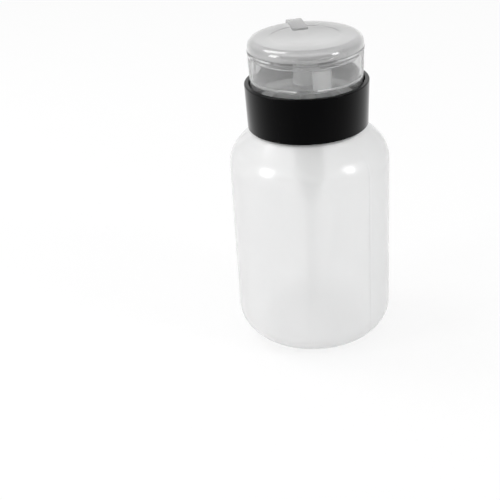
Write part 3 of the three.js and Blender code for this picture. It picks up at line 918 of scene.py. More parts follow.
@dataclass(frozen=True)
class Bottle:
    """The blown bottle: one wall from its pushed-up base to its threaded neck."""

    levels: Levels
    heel_radius: float = 12.5
    foot_ring: float = 3.0
    base_curve: tuple[Point, ...] = ((0.0, 1.0), (0.5, 0.96), (0.8, 0.6))
    thread_width: float = 1.5
    thread_turns: float = 1.25
    seam_angle: float = -55.0
    seam_height: float = 0.06
    seam_half: float = 0.018
    seam_start: float = 2.5
    seam_margin: float = 0.2
    neck_margin: float = 1.0
    weld_share: float = 0.85
    weld_taper: float = 0.9
    weld_bottom: float = 1.4
    weld_rise: float = 0.6
    weld_width: float = 0.5
    middle_share: float = 0.6

    @property
    def foot(self) -> float:
        """The radius at which the heel meets the foot ring."""
        return self.levels.bottle_radius - self.heel_radius

    def seam(self, angle: float, radius: float, height: float) -> float:
        """Gives the parting line's height over the wall.

        Args:
            angle: The angle round the axis, in radians.
            radius: The wall's radius there.
            height: The height there.

        Returns:
            How far the seam stands out, in millimetres.
        """
        levels = self.levels
        if not self.seam_start <= height <= levels.ledge_top - self.seam_margin:
            return 0.0
        upright = self.heel_radius < height < levels.side_height
        inner = levels.bottle_radius - levels.bottle_wall / 2
        if radius < (inner if upright else levels.neck_radius + self.neck_margin):
            return 0.0
        start = angle - math.radians(self.seam_angle)
        away = min(abs(math.remainder(start - side, FULL_TURN)) for side in (0, math.pi))
        return self.seam_height * max(0.0, 1 - away / self.seam_half)

    def profile(self) -> list[Corner]:
        """Lists the wall's section.

        Returns:
            Its corners, outside from the base up and inside back down.
        """
        levels = self.levels
        wall, rise, ledge = levels.bottle_wall, levels.base_rise, levels.ledge_top
        recess = self.foot - self.foot_ring
        heel = (self.foot, self.heel_radius)
        shoulder = (levels.shoulder_centre, levels.side_height)
        bend = levels.shoulder_turn
        turn = math.radians(bend)
        mitre = wall * (1 - math.sin(turn)) / math.cos(turn)
        return [
            *[(recess * x, rise * y) for x, y in self.base_curve],
            (recess, 0.0, 1.0),
            *arc(heel, self.heel_radius, -90, 0),
            *arc(shoulder, levels.shoulder_radius, 0, bend),
            (levels.ledge_radius, ledge, 0.8),
            (levels.neck_radius, ledge, 0.4),
            (levels.neck_radius, levels.neck_top, 0.5),
            (levels.neck_bore, levels.neck_top, 0.3),
            (levels.neck_bore, ledge - wall, 0.6),
            (levels.ledge_radius - mitre, ledge - wall, 0.5),
            *arc(shoulder, levels.shoulder_radius - wall, bend, 0),
            *arc(heel, self.heel_radius - wall, 0, -90),
            (recess, wall, 1.0),
            *[(recess * x, rise * y + wall) for x, y in reversed(self.base_curve)],
        ]

    def weld(self) -> Solid:
        """Makes the weld that the mould's halves leave across the base.

        Returns:
            The weld, sunk into the base.
        """
        half = (self.foot - self.foot_ring) * self.weld_share
        low, high = self.weld_bottom, self.levels.base_rise + self.weld_rise
        top = half * self.weld_taper
        outline = [(-half, low), (half, low), (top, high), (-top, high)]
        return spun(widened("base_weld", outline, self.weld_width), self.seam_angle + 90)

    def inside(self, face: bpy.types.MeshPolygon) -> bool:
        """Tells whether a face of the wall looks towards the bottle's middle."""
        middle = Vector((0, 0, self.levels.side_height * self.middle_share * MM))
        return face.normal.dot(face.center - middle) < 0

    def build(self) -> None:
        """Makes the bottle with its thread, its parting line and the weld across its base."""
        levels = self.levels
        start = math.radians(self.seam_angle)
        seams = [start % FULL_TURN, (start + math.pi) % FULL_TURN]
        shell = turned("bottle_shell", self.profile(), ridges=seams, swell=self.seam)
        thread = screw_ridge(
            "neck_thread",
            levels.neck_radius,
            levels.neck_radius + levels.thread_depth,
            self.thread_width,
            levels.thread_pitch,
            self.thread_turns,
            levels.ledge_top + levels.thread_lead,
        )
        combined(shell, [thread, self.weld()])
        placed(shell, MILKY, Body.BOTTLE, "bottle", sharp=40)
        MILKY_INSIDE.dress_part(shell, self.inside)


@dataclass(frozen=True)
class Closure:
    """The screw closure: a black sleeve round a white threaded nut."""

    levels: Levels
    collar_wall: float = 1.75
    collar_flare: float = 0.5
    edge_round: float = 0.5
    hole_inset: float = 2.0
    nut_web: float = 1.2
    rib_depth: float = 0.6
    rib_width: float = 1.2
    rib_sink: float = 0.4
    ribs: int = 8
    thread_depth: float = 0.8
    thread_width: float = 1.3
    thread_turns: float = 1.0

    def collar(self) -> None:
        """Makes the sleeve, with its rounded rim and its inward lip."""
        levels = self.levels
        top = levels.collar_bore + self.collar_wall
        lip = levels.collar_lip_radius
        shelf = levels.collar_bottom + levels.collar_lip
        profile = [
            (lip, levels.collar_bottom, 0.15),
            (top - self.collar_flare, levels.collar_bottom, self.edge_round),
            (top, levels.collar_top, self.edge_round),
            (levels.collar_bore, levels.collar_top, 0.25),
            (levels.collar_bore, shelf),
            (lip, shelf, 0.15),
        ]
        sleeve = turned("collar_sleeve", profile, faces=FINE_FACES, step=10)
        placed(sleeve, BLACK, Body.CLOSURE, "collar")

    def nut(self) -> None:
        """Makes the threaded nut that the sleeve grips."""
        levels = self.levels
        wall, bottom, bore = levels.nut_radius, levels.nut_bottom, levels.nut_bore
        hole = levels.neck_radius - self.hole_inset
        web = levels.collar_bore - SEAT_GAP
        flange = levels.nut_top - levels.nut_flange
        profile = [
            (bore, bottom, 0.2),
            (web, bottom, 0.2),
            (web, bottom + self.nut_web, 0.2),
            (wall, bottom + self.nut_web, 0.3),
            (wall, levels.nut_top, 0.4),
            (hole, levels.nut_top, 0.2),
            (hole, flange, 0.2),
            (bore, flange, 0.2),
        ]
        nut = turned("closure_nut_fine", profile, faces=120)
        half = self.rib_width / 2
        rib = oblong(wall - self.rib_sink, wall + self.rib_depth, -half, half)
        low = bottom + self.nut_web / 2
        ribs = spaced(self.ribs, lambda turn: raised(f"nut_rib_{turn}", rib, low, flange))
        thread = screw_ridge(
            "nut_thread",
            bore,
            bore - self.thread_depth,
            self.thread_width,
            levels.thread_pitch,
            self.thread_turns,
            levels.ledge_top + levels.thread_lead + levels.thread_pitch / 2,
        )
        combined(nut, [*ribs, thread])
        placed(nut, NATURAL_WITH_PAINTED_SHADE, Body.CLOSURE, "closure_nut")

    def build(self) -> None:
        """Makes both pieces."""
        self.collar()
        self.nut()


@dataclass
class Engine:
    """The pump's fixed half: its cylinder, guide cap, dip tube, cage, spring and gasket."""

    levels: Levels
    gasket_inset: float = 0.2
    gasket_reach: float = 0.5
    flange_reach: float = 0.6
    well_gap: float = 1.0
    well_wall: float = 1.0
    well_depth: float = 4.6
    bore: float = 4.9
    wall: float = 1.1
    rim_height: float = 1.5
    bore_length: float = 28.6
    chamber: float = 2.8
    chamber_step: float = 2.0
    valve_wall: float = 1.2
    throat: float = 1.1
    throat_length: float = 0.6
    cone_depth: float = 1.4
    inlet_ball: float = 2.0
    inlet_lift: float = 1.0
    socket_wall: float = 1.0
    socket_depth: float = 3.6
    vent_radius: float = 0.6
    vent_drop: float = 3.0
    cap_plate: float = 1.0
    cap_reach: float = 1.4
    tube_radius: float = 2.1
    tube_wall: float = 0.6
    tube_clearance: float = 2.2
    tube_slant: float = 2.0
    cage_thickness: float = 1.2
    cage_hole: float = 1.4
    cage_slots: int = 4
    slot_half: float = 0.4
    slot_margin: float = 1.0
    stroke: float = 5.5
    spring_length: float = 10.4
    spring_wire: float = 0.3
    spring_inset: float = 1.1
    spring_curls: int = 5
    curl_steps: int = 28
    piston_plate: float = 1.0
    piston_length: float = 5.0

    def __post_init__(self) -> None:
        """Works out the heights and radii inside the pump."""
        self.radius = self.bore + self.wall
        self.sliding = self.bore - SEAT_GAP
        self.well_floor = self.levels.flange_top - self.well_depth
        self.bore_bottom = self.well_floor - self.bore_length
        seat = seated(self.inlet_ball, self.throat, self.chamber, self.cone_depth)
        self.cone_bottom = self.bore_bottom - (seat + self.inlet_ball + self.inlet_lift + SEAT_GAP)
        self.inlet_height = self.cone_bottom + seat
        self.throat_bottom = self.cone_bottom - self.throat_length
        self.cage_bottom = self.bore_bottom + SEAT_GAP
        self.cage_top = self.cage_bottom + self.cage_thickness
        self.spring_bottom = self.cage_top + SEAT_GAP
        self.seat_bottom = self.spring_bottom + self.spring_length + SEAT_GAP
        self.piston_bottom = self.seat_bottom + self.piston_plate + SEAT_GAP
        self.piston_top = self.piston_bottom + self.piston_length

    def gasket(self) -> None:
        """Makes the foam gasket on the neck's lip."""
        levels = self.levels
        inner = levels.neck_bore + self.gasket_inset
        outer = levels.neck_radius + self.gasket_reach
        profile = oblong(inner, outer, levels.gasket_bottom, levels.gasket_top, 0.1)
        round_piece("neck_gasket", profile, FOAM, Body.ENGINE)

    def cylinder(self) -> None:
        """Makes the pump cylinder, with its flange, well, valve chamber and tube socket."""
        levels = self.levels
        well = levels.neck_bore - self.well_gap
        valve = self.chamber + self.valve_wall
        socket = self.tube_radius + SEAT_GAP
        edge = levels.neck_radius + self.flange_reach
        cone_top = self.cone_bottom + self.cone_depth
        socket_bottom = self.throat_bottom - self.socket_depth
        under_well = self.well_floor - self.well_wall
        rim = self.well_floor + self.rim_height
        profile = [
            (socket, socket_bottom, 0.15),
            (socket + self.socket_wall, socket_bottom, 0.2),
            (socket + self.socket_wall, self.cone_bottom, 0.3),
            (valve, cone_top, 0.3),
            (valve, self.bore_bottom - self.chamber_step, 0.4),
            (self.radius, self.bore_bottom, 0.4),
            (self.radius, under_well, 0.4),
            (well, under_well, 0.5),
            (well, levels.flange_bottom, 0.2),
            (edge, levels.flange_bottom, 0.2),
            (edge, levels.flange_top, 0.2),
            (well - self.well_wall, levels.flange_top, 0.2),
            (well - self.well_wall, self.well_floor, 0.4),
            (self.radius, self.well_floor, 0.3),
            (self.radius, rim, 0.2),
            (self.bore, rim, 0.2),
            (self.bore, self.bore_bottom, 0.2),
            (self.chamber, self.bore_bottom),
            (self.chamber, cone_top),
            (self.throat, self.cone_bottom),
            (self.throat, self.throat_bottom),
            (socket, self.throat_bottom),
        ]
        body = turned("pump_cylinder_fine", profile, faces=INNER_FACES)
        drill = oblong(0, self.vent_radius, 0, self.radius + OVERRUN)
        vent = turned("vent_hole", drill, faces=24)
        shift = Matrix.Translation((0, 0, (under_well - self.vent_drop) * MM))
        vent.data.transform(shift @ Matrix.Rotation(math.radians(90), 4, "Y"))
        combined(body, [vent], Union.CUT)
        placed(body, NATURAL_WITH_PAINTED_SHADE, Body.ENGINE, "pump_cylinder")

    def guide_cap(self) -> None:
        """Makes the cap that guides the stem."""
        hole = self.levels.stem_radius + SEAT_GAP
        inner = self.radius + SEAT_GAP
        outer = self.radius + self.cap_reach
        plate = self.well_floor + self.rim_height + SEAT_GAP
        sleeve = self.piston_top + SEAT_GAP
        profile = [
            (hole, sleeve, 0.2),
            (self.sliding, sleeve, 0.2),
            (self.sliding, plate),
            (inner, plate),
            (inner, plate - self.cap_plate, 0.1),
            (outer, plate - self.cap_plate, 0.15),
            (outer, plate + self.cap_plate, 0.25),
            (hole, plate + self.cap_plate, 0.2),
        ]
        round_piece("cylinder_cap", profile, NATURAL_WITH_PAINTED_SHADE, Body.ENGINE)

    def dip_tube(self) -> None:
        """Makes the dip tube, cut aslant at its foot."""
        levels = self.levels
        outer = self.tube_radius
        inner = outer - self.tube_wall
        top = self.throat_bottom - SEAT_GAP
        bottom = levels.base_rise + levels.bottle_wall + self.tube_clearance
        profile = [(inner, bottom), (outer, bottom), (outer, top, 0.1), (inner, top, 0.1)]
        pipe = turned("dip_tube_fine", profile, faces=SMALL_FACES)
        reach = outer + OVERRUN
        outline = [
            (-reach, bottom - OVERRUN),
            (reach, bottom - OVERRUN),
            (reach, bottom + self.tube_slant),
            (-outer, bottom),
            (-reach, bottom),
        ]
        combined(pipe, [widened("foot_cut", outline, reach * 2)], Union.CUT)
        placed(pipe, TUBING, Body.ENGINE, "dip_tube")

    def cage(self) -> None:
        """Makes the slotted cage over the inlet ball."""
        bottom, top, half = self.cage_bottom, self.cage_top, self.slot_half
        profile = oblong(self.cage_hole, self.sliding, bottom, top, 0.15)
        disc = turned("ball_cage_fine", profile, faces=SMALL_FACES)
        outline = oblong(0.0, self.sliding - self.slot_margin, -half, half)
        low, high = bottom - OVERRUN, top + OVERRUN
        for slot in spaced(
            self.cage_slots, lambda turn: raised(f"cage_slot_{turn}", outline, low, high)
        ):
            combined(disc, [slot], Union.CUT)
        placed(disc, NATURAL_WITH_PAINTED_SHADE, Body.ENGINE, "ball_cage")

    def spring(self) -> None:
        """Makes the return spring, with its end coils turned square to their seats."""
        radius = self.bore - self.spring_inset - self.spring_wire
        end = self.spring_wire * 2
        steps = self.spring_curls * self.curl_steps
        climb = self.spring_length - end * 2
        foot = self.spring_bottom
        route = [Vector((radius, 0, foot))]
        for step in range(steps + 1):
            angle = FULL_TURN * step / self.curl_steps
            height = foot + end + climb * step / steps
            route.append(Vector((radius * math.cos(angle), radius * math.sin(angle), height)))
        route.append(Vector((*route[-1].xy, foot + self.spring_length)))
        coil = wire("return_spring_fine", route, self.spring_wire)
        placed(coil, STEEL, Body.ENGINE, "return_spring")
        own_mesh(coil)

    def build(self) -> None:
        """Makes all six pieces."""
        self.gasket()
        self.cylinder()
        self.guide_cap()
        self.dip_tube()
        self.cage()
        self.spring()


@dataclass(frozen=True)
class Valves:
    """The two loose steel balls."""

    levels: Levels
    engine: Engine

    def build(self) -> None:
        """Makes both balls on their seats."""
        levels, engine = self.levels, self.engine
        for node, body, radius, height in (
            ("inlet_ball", Body.INLET_VALVE, engine.inlet_ball, engine.inlet_height),
            ("outlet_ball", Body.OUTLET_VALVE, levels.outlet_ball, levels.outlet_height),
        ):
            half = [(max(0.0, x), y) for x, y in arc((0, height), radius, -90, 90, 6)]
            round_piece(node, half, STEEL, body, SMALL_FACES)


@dataclass(frozen=True)
class Plunger:
    """The half that is pressed: cup with dish and boss, nozzle cap, stem and piston."""

    levels: Levels
    engine: Engine
    skirt_length: float = 17.0
    rim_round: float = 0.3
    dish_fillet: float = 0.25
    boss_wall: float = 1.5
    boss_draft: float = 0.5
    pad_width: float = 6.9
    pad_thickness: float = 1.3
    pad_sink: float = 0.5
    pad_drop: float = 2.1
    pads: int = 3
    pad_turn: float = 6.0
    boss_margin: float = 0.3
    boss_foot: float = 0.4
    pad_foot: float = 0.3
    wall_margin: float = 0.15
    nozzle_hole: float = 0.7
    nozzle_overhang: float = 0.7
    nozzle_plate: float = 0.8
    ridge_radius: float = 2.5
    ridge_height: float = 0.4
    ridge_half: float = 0.25
    crest_half: float = 0.1
    stem_neck: float = 0.7
    stem_shoulder: float = 4.2
    shoulder_height: float = 0.8
    lip_draft: float = 0.1
    lip_crest: float = 0.55
    lip_length: float = 1.1
    waist_depth: float = 0.6
    seat_inset: float = 0.3
    pin_length: float = 3.0

    def inner_radius(self, height: float) -> float:
        """Gives the cup's inner radius at a height."""
        over = height - (self.levels.cup_rim - self.skirt_length)
        return self.levels.cup_low_inner + self.levels.cup_taper * over / self.skirt_length

    def head(self) -> None:
        """Makes the cup, its sloped dish, its boss and the three pads on its wall."""
        levels = self.levels
        low = levels.cup_rim - self.skirt_length
        hole = levels.stem_radius + SEAT_GAP
        boss_top = hole + self.boss_wall
        boss_low = boss_top + self.boss_draft
        at_dish = self.inner_radius(levels.dish_edge)
        under_edge = levels.dish_edge - levels.dish_thickness
        profile = [
            (levels.cup_low_inner, low, 0.2),
            (levels.cup_low, low, 0.3),
            (levels.cup_top, levels.cup_rim, self.rim_round),
            (levels.cup_top - levels.cup_wall, levels.cup_rim, 0.2),
            (at_dish, levels.dish_edge, self.dish_fillet),
            (boss_low, levels.dish_centre, 0.6),
            (boss_top, levels.boss_top, 0.4),
            (hole, levels.boss_top, 0.15),
            (hole, levels.dish_under, 0.15),
            (boss_low, levels.dish_under, 0.6),
            (self.inner_radius(under_edge), under_edge, 0.15),
        ]
        cup = turned("press_head_fine", profile, faces=FINE_FACES, step=10)
        combined(cup, self.wall_pads(at_dish))
        placed(cup, CLEAR, Body.PLUNGER, "press_head")
        HAZY.dress_part(cup, lambda face: self.thick(face, boss_low))

    def wall_pads(self, wall: float) -> list[Solid]:
        """Makes the three pads that stand on the dish.

        Args:
            wall: The radius of the wall that they stand against.

        Returns:
            The pads.
        """
        levels = self.levels
        half = self.pad_width / 2
        inner, outer = wall - self.pad_thickness, wall + self.pad_sink
        corners = [(inner, -half, 0.3), (outer, -half), (outer, half), (inner, half, 0.3)]
        outline = rounded(corners, step=22)
        bottom = levels.dish_edge - levels.dish_thickness / 2
        top = levels.ring_bottom - self.pad_drop - SEAT_GAP
        return spaced(
            self.pads,
            lambda turn: softened(raised(f"wall_pad_{turn}", outline, bottom, top), 0.15),
            self.pad_turn - 90,
        )

    def thick(self, face: bpy.types.MeshPolygon, boss_radius: float) -> bool:
        """Tells whether a face of the cup belongs to its boss or pads.

        Args:
            face: The face.
            boss_radius: The boss's radius at its foot.

        Returns:
            Whether it does.
        """
        levels = self.levels
        height = face.center.z / MM
        reach = math.hypot(face.center.x, face.center.y) / MM
        wall = self.inner_radius(height) - self.wall_margin
        near = reach < boss_radius + self.boss_margin
        boss = near and height > levels.dish_centre + self.boss_foot
        return boss or (reach < wall and height > levels.dish_edge + self.pad_foot)

    def nozzle(self) -> None:
        """Makes the pierced cap that plugs the boss."""
        levels = self.levels
        bottom = levels.boss_top + SEAT_GAP
        top = bottom + self.nozzle_plate
        edge = levels.stem_radius + SEAT_GAP + self.nozzle_overhang
        pin = levels.outlet_height + levels.outlet_ball + levels.outlet_lift + SEAT_GAP
        ridge, crest = self.ridge_radius, top + self.ridge_height
        profile = [
            (self.nozzle_hole, pin),
            (levels.stem_radius, pin, 0.2),
            (levels.stem_radius, bottom),
            (edge, bottom, 0.15),
            (edge, top, 0.25),
            (ridge + self.ridge_half, top, 0.08),
            (ridge + self.crest_half, crest, 0.12),
            (ridge - self.crest_half, crest, 0.12),
            (ridge - self.ridge_half, top, 0.08),
            (self.nozzle_hole, top, 0.15),
        ]
        round_piece("nozzle_cap", profile, CLEAR, Body.PLUNGER)

    def stem(self) -> None:
        """Makes the hollow stem, with its shoulder under the dish."""
        levels = self.levels
        bore, outer = levels.stem_bore, levels.stem_radius
        neck = bore + self.stem_neck
        foot, step = self.engine.piston_bottom, self.engine.piston_top + SEAT_GAP
        shoulder = levels.dish_under - SEAT_GAP
        profile = [
            (bore, foot),
            (neck, foot, 0.15),
            (neck, step),
            (outer, step, 0.2),
            (outer, shoulder - self.shoulder_height, 0.2),
            (self.stem_shoulder, shoulder - self.shoulder_height, 0.2),
            (self.stem_shoulder, shoulder, 0.2),
            (outer, shoulder, 0.1),
            (outer, levels.stem_top, 0.15),
            (levels.outlet_mouth, levels.stem_top),
            (bore, levels.stem_top - levels.outlet_cone),
        ]
        round_piece("piston_stem", profile, NATURAL_WITH_PAINTED_SHADE, Body.PLUNGER)

    def piston(self) -> None:
        """Makes the piston with its two soft lips."""
        bottom, top = self.engine.piston_bottom, self.engine.piston_top
        bore = self.levels.stem_bore + self.stem_neck + SEAT_GAP
        lip = self.engine.sliding
        edge, waist = lip - self.lip_draft, lip - self.waist_depth
        profile = [
            (bore, bottom),
            (edge, bottom, 0.1),
            (lip, bottom + self.lip_crest, 0.2),
            (waist, bottom + self.lip_length, 0.2),
            (waist, top - self.lip_length, 0.2),
            (lip, top - self.lip_crest, 0.2),
            (edge, top, 0.1),
            (bore, top),
        ]
        round_piece("piston", profile, TUBING, Body.PLUNGER)

    def piston_seat(self) -> None:
        """Makes the plug that holds the piston on the stem."""
        bottom = self.engine.seat_bottom
        plate = bottom + self.engine.piston_plate
        radius = self.engine.sliding - self.seat_inset
        pin = self.levels.stem_bore - SEAT_GAP
        profile = [
            (0, bottom),
            (radius, bottom, 0.2),
            (radius, plate, 0.2),
            (pin, plate),
            (pin, plate + self.pin_length, 0.3),
            (0, plate + self.pin_length),
        ]
        round_piece("piston_seat", profile, NATURAL_WITH_PAINTED_SHADE, Body.PLUNGER)

    def build(self) -> None:
        """Makes the five pieces."""
        self.head()
        self.nozzle()
        self.stem()
        self.piston()
        self.piston_seat()


@dataclass
class SnapHinge:
    """The hinge ring, the lid, the snap link and the films between them."""

    levels: Levels
    hinge_reach: float = 2.3
    plug_depth: float = 2.1
    plug_wall: float = 0.9
    plug_gap: float = 0.4
    lip_height: float = 2.0
    lip_gap: float = 0.5
    lip_break: float = 6.6
    bead_reach: float = 0.2
    bead_height: float = 0.6
    edge_round: float = 3.0
    recess_radius: float = 13.0
    recess_depth: float = 0.16
    notch_depth: float = 13.0
    mouth_round: float = 4.0
    end_round: float = 1.2
    thumb_reach: float = 1.3
    thumb_half: float = 9.2
    thumb_thickness: float = 1.0
    strap_spacing: float = 12.0
    strap_root: float = 4.2
    strap_waist: float = 3.0
    strap_thickness: float = 0.8
    strap_sink: float = 2.2
    link_proud: float = 0.3
    link_width: float = 5.6
    link_side: float = 0.18
    link_tip: float = 0.15
    link_thickness: float = 0.9
    link_round: float = 2.2
    pivot_drop: float = 1.6
    bracket_thickness: float = 0.8
    bracket_gap: float = 0.35
    bracket_sink: float = 0.6
    open_angle: float = 165.0
    film: float = 0.22
    film_bulge: float = 0.16
    film_root: float = 0.1
    film_lap: float = 0.02
    film_sag: float = 0.05
    film_inset: float = 0.1
    web_inset: float = 0.3
    seat_line: float = 0.03

    def __post_init__(self) -> None:
        """Works out the hinge axis, the notch and the link's ends and pivot."""
        levels = self.levels
        self.hinge = (levels.ring_radius + self.hinge_reach, levels.ring_top + SEAT_GAP / 2)
        self.waist = self.hinge[0] - SEAT_GAP / 2
        self.notch_half = self.link_width / 2 + SEAT_GAP
        self.notch_end = levels.lid_radius - self.notch_depth
        self.link_top = levels.lid_top + self.link_proud
        self.link_end = self.notch_end + SEAT_GAP
        self.ring_pivot = self.snap_point()

    def snap_point(self) -> Point:
        """Finds the link's pivot on the ring, as (y, z).

        Returns:
            A point as far from the link's lid end with the lid shut as with it fully open.
        """
        hinge_y, hinge_z = self.hinge
        y = self.link_end + self.link_thickness / 2 - hinge_y
        z = self.link_top - self.link_thickness / 2 - hinge_z
        bisector = math.atan2(z, y) - math.radians(self.open_angle) / 2
        return (
            hinge_y - self.pivot_drop * math.cos(bisector),
            hinge_z - self.pivot_drop * math.sin(bisector),
        )

    def leaves(self, name: str, bottom: float) -> list[Solid]:
        """Makes one leaf of each strap, narrowing to its waist at the hinge.

        Args:
            name: The start of their names.
            bottom: Their underside's height.

        Returns:
            The two leaves.
        """
        root = self.levels.lid_radius - self.strap_sink
        wide, narrow = self.strap_root / 2, self.strap_waist / 2
        made = []
        for side in (-1, 1):
            middle = side * self.strap_spacing / 2
            outline = [
                (middle - wide, root),
                (middle + wide, root),
                (middle + narrow, self.waist),
                (middle - narrow, self.waist),
            ]
            leaf = raised(f"{name}_{side}", outline, bottom, bottom + self.strap_thickness)
            made.append(softened(leaf, 0.12))
        return made

    def bracket(self) -> Solid:
        """Makes the bracket on the ring that carries the link.

        Returns:
            The bracket.
        """
        levels = self.levels
        pivot_y, pivot_z = self.ring_pivot
        end = pivot_y - self.link_thickness / 2 - SEAT_GAP
        top = pivot_z + self.bracket_thickness / 2
        low = top - self.bracket_thickness
        back = levels.cup_top + self.bracket_gap
        root = levels.ring_radius - self.bracket_sink
        high, under = levels.ring_top - self.film_lap, levels.ring_bottom + self.film_lap
        outline = [
            (back, low),
            (end, low),
            (end, top),
            (back + self.bracket_thickness, high),
            (root, high),
            (root, under),
            (back, under),
        ]
        return softened(widened("link_bracket", outline, self.link_width), 0.12)

    def ring(self) -> None:
        """Makes the ring on the cup's rim, with its lip, bead, leaves and link bracket."""
        levels = self.levels
        plug = levels.cup_top - levels.cup_wall - self.plug_gap
        bore = plug - self.plug_wall
        outer, top = levels.ring_radius, levels.ring_top
        foot, seat = levels.ring_bottom - self.plug_depth, levels.cup_rim + self.seat_line
        lip = levels.lid_radius - levels.lid_wall - self.lip_gap
        lip_top = top + self.lip_height
        profile = [
            (bore, foot, 0.2),
            (plug, foot, 0.2),
            (plug, seat, 0.1),
            (outer, seat, 0.15),
            (outer, top, 0.15),
            (lip, top, 0.15),
            (lip, lip_top - self.bead_height * 2, 0.1),
            (lip + self.bead_reach, lip_top - self.bead_height, 0.3),
            (lip, lip_top, 0.25),
            (bore, lip_top, 0.3),
        ]
        ring = turned("hinge_ring_fine", profile, faces=FINE_FACES, step=15)
        gap = oblong(-self.lip_break, self.lip_break, 0.0, outer)
        combined(ring, [raised("lip_break", gap, top, lip_top + OVERRUN)], Union.CUT)
        leaves = self.leaves("ring_leaf", top - self.strap_thickness)
        combined(ring, [self.bracket(), *leaves])
        placed(ring, CLEAR, Body.PLUNGER, "hinge_ring")

    def notch_outline(self, margin: float) -> list[Point]:
        """Lists the notch's plan.

        Args:
            margin: How much wider than the notch it is, all round.

        Returns:
            The plan's points.
        """
        levels = self.levels
        mouth = self.mouth_round - margin
        mouth_y = levels.lid_radius - self.mouth_round
        behind = levels.lid_radius + OVERRUN
        flare = self.notch_half + self.mouth_round
        side = self.notch_half + margin - self.end_round
        end = self.notch_end - margin + self.end_round
        return [
            (-flare, behind),
            *arc((-flare, mouth_y), mouth, 90, 0, 10),
            *arc((-side, end), self.end_round, 180, 270, 15),
            *arc((side, end), self.end_round, -90, 0, 15),
            *arc((flare, mouth_y), mouth, 180, 90, 10),
            (flare, behind),
        ]

    def thumb_lip(self) -> Solid:
        """Makes the disc whose edge stands out of the lid as its thumb lip.

        Returns:
            The disc.
        """
        levels = self.levels
        bottom, top = levels.lid_bottom, levels.lid_bottom + self.thumb_thickness
        tip = levels.lid_radius + self.thumb_reach
        sagitta = tip - math.sqrt(levels.lid_radius**2 - self.thumb_half**2)
        radius = (self.thumb_half**2 + sagitta**2) / (sagitta * 2)
        profile = [(0, bottom), (radius, bottom, 0.2), (radius, top, 0.3), (0, top)]
        thumb = turned("thumb_lip", profile, faces=160)
        thumb.data.transform(Matrix.Translation((0, (radius - tip) * MM, 0)))
        return thumb

    def lid(self) -> None:
        """Makes the lid: a shallow dished top, a soft edge, a walled notch and a thumb lip."""
        levels = self.levels
        wall, bottom, top = levels.lid_wall, levels.lid_bottom, levels.lid_top
        floor = top - self.recess_depth
        rim = levels.ring_top + self.seat_line
        bend = (levels.lid_radius - self.edge_round, top - self.edge_round)
        profile = [
            (0, rim),
            (levels.lid_radius, rim, 0.15),
            *arc(bend, self.edge_round, 0, 90),
            (self.recess_radius + self.recess_depth, top, 0.35),
            (self.recess_radius, floor, 0.35),
            (0, floor),
        ]
        outside = turned("lid_fine", profile, faces=FINE_FACES)
        hollow = [
            (0, bottom - OVERRUN),
            (levels.lid_radius - wall, bottom - OVERRUN),
            *arc(bend, self.edge_round - wall, 0, 90, 9),
            (0, top - wall),
        ]
        cavity = turned("lid_cavity", hollow, faces=FINE_FACES)
        combined(outside, [self.thumb_lip()])
        notch = raised("notch", self.notch_outline(0.0), bottom - OVERRUN, top + OVERRUN)
        combined(outside, [notch], Union.CUT)
        combined(outside, self.leaves("lid_leaf", bottom))
        plan = self.notch_outline(wall)
        walls = raised("notch_wall", plan, bottom - OVERRUN * 2, top + OVERRUN)
        combined(cavity, [walls], Union.CUT)
        combined(outside, [cavity], Union.CUT)
        placed(outside, FROSTED, Body.LID, "lid")

    def link(self) -> None:
        """Makes the bent link that snaps the lid over."""
        pivot_y, pivot_z = self.ring_pivot
        thick, top, end = self.link_thickness, self.link_top, self.link_end - self.link_tip
        back = pivot_y + thick / 2
        corner = (back - self.link_round, top - self.link_round)
        outline = [
            (pivot_y - thick / 2, pivot_z),
            (back, pivot_z),
            *arc(corner, self.link_round, 0, 90, 9),
            (end, top),
            (end, top - thick),
            *arc(corner, self.link_round - thick, 90, 0, 12),
        ]
        link = widened("snap_link_fine", outline, self.link_width + self.link_side * 2)
        placed(softened(link, 0.18, 3), LINK, Body.LINK, "snap_link", sharp=50)

    def strap_films(self) -> None:
        """Makes the thin film that bends at each strap's waist."""
        z = self.hinge[1]
        half = SEAT_GAP / 2 + self.film_bulge
        root = self.waist - self.film_root
        outer = arc((self.waist, z), half, -90, 90, 12)
        inner = arc((self.waist, z), half - self.film, 90, -90, 12)
        outline = [(root, z - half), *outer, (root, z + half)]
        outline += [(root, z + half - self.film), *inner, (root, z - half + self.film)]
        width = self.strap_waist - self.film_inset * 2
        for name, side in (("strap_film_left", -1), ("strap_film_right", 1)):
            strip = widened(name, outline, width, side * self.strap_spacing / 2)
            bent(strip, FROSTED, Body.LID)

    def link_film(self) -> None:
        """Makes the thin film that bends at the link's foot."""
        pivot_y, z = self.ring_pivot
        near = pivot_y - self.link_thickness / 2
        far = near - SEAT_GAP
        half = self.film / 2
        outline = [
            (far - self.film_lap, z - half),
            (near - SEAT_GAP / 2, z - half - self.film_sag),
            (near + self.film_lap, z - half),
            (near + self.film_lap, z + half),
            (far - self.film_lap, z + half),
        ]
        web = widened("link_film", outline, self.link_width - self.web_inset * 2)
        bent(web, CLEAR, Body.LINK)

    def build(self) -> None:
        """Makes the ring, the lid, the link and the films."""
        self.ring()
        self.lid()
        self.link()
        self.strap_films()
        self.link_film()


# ---------------------------------------------------------------- the studio


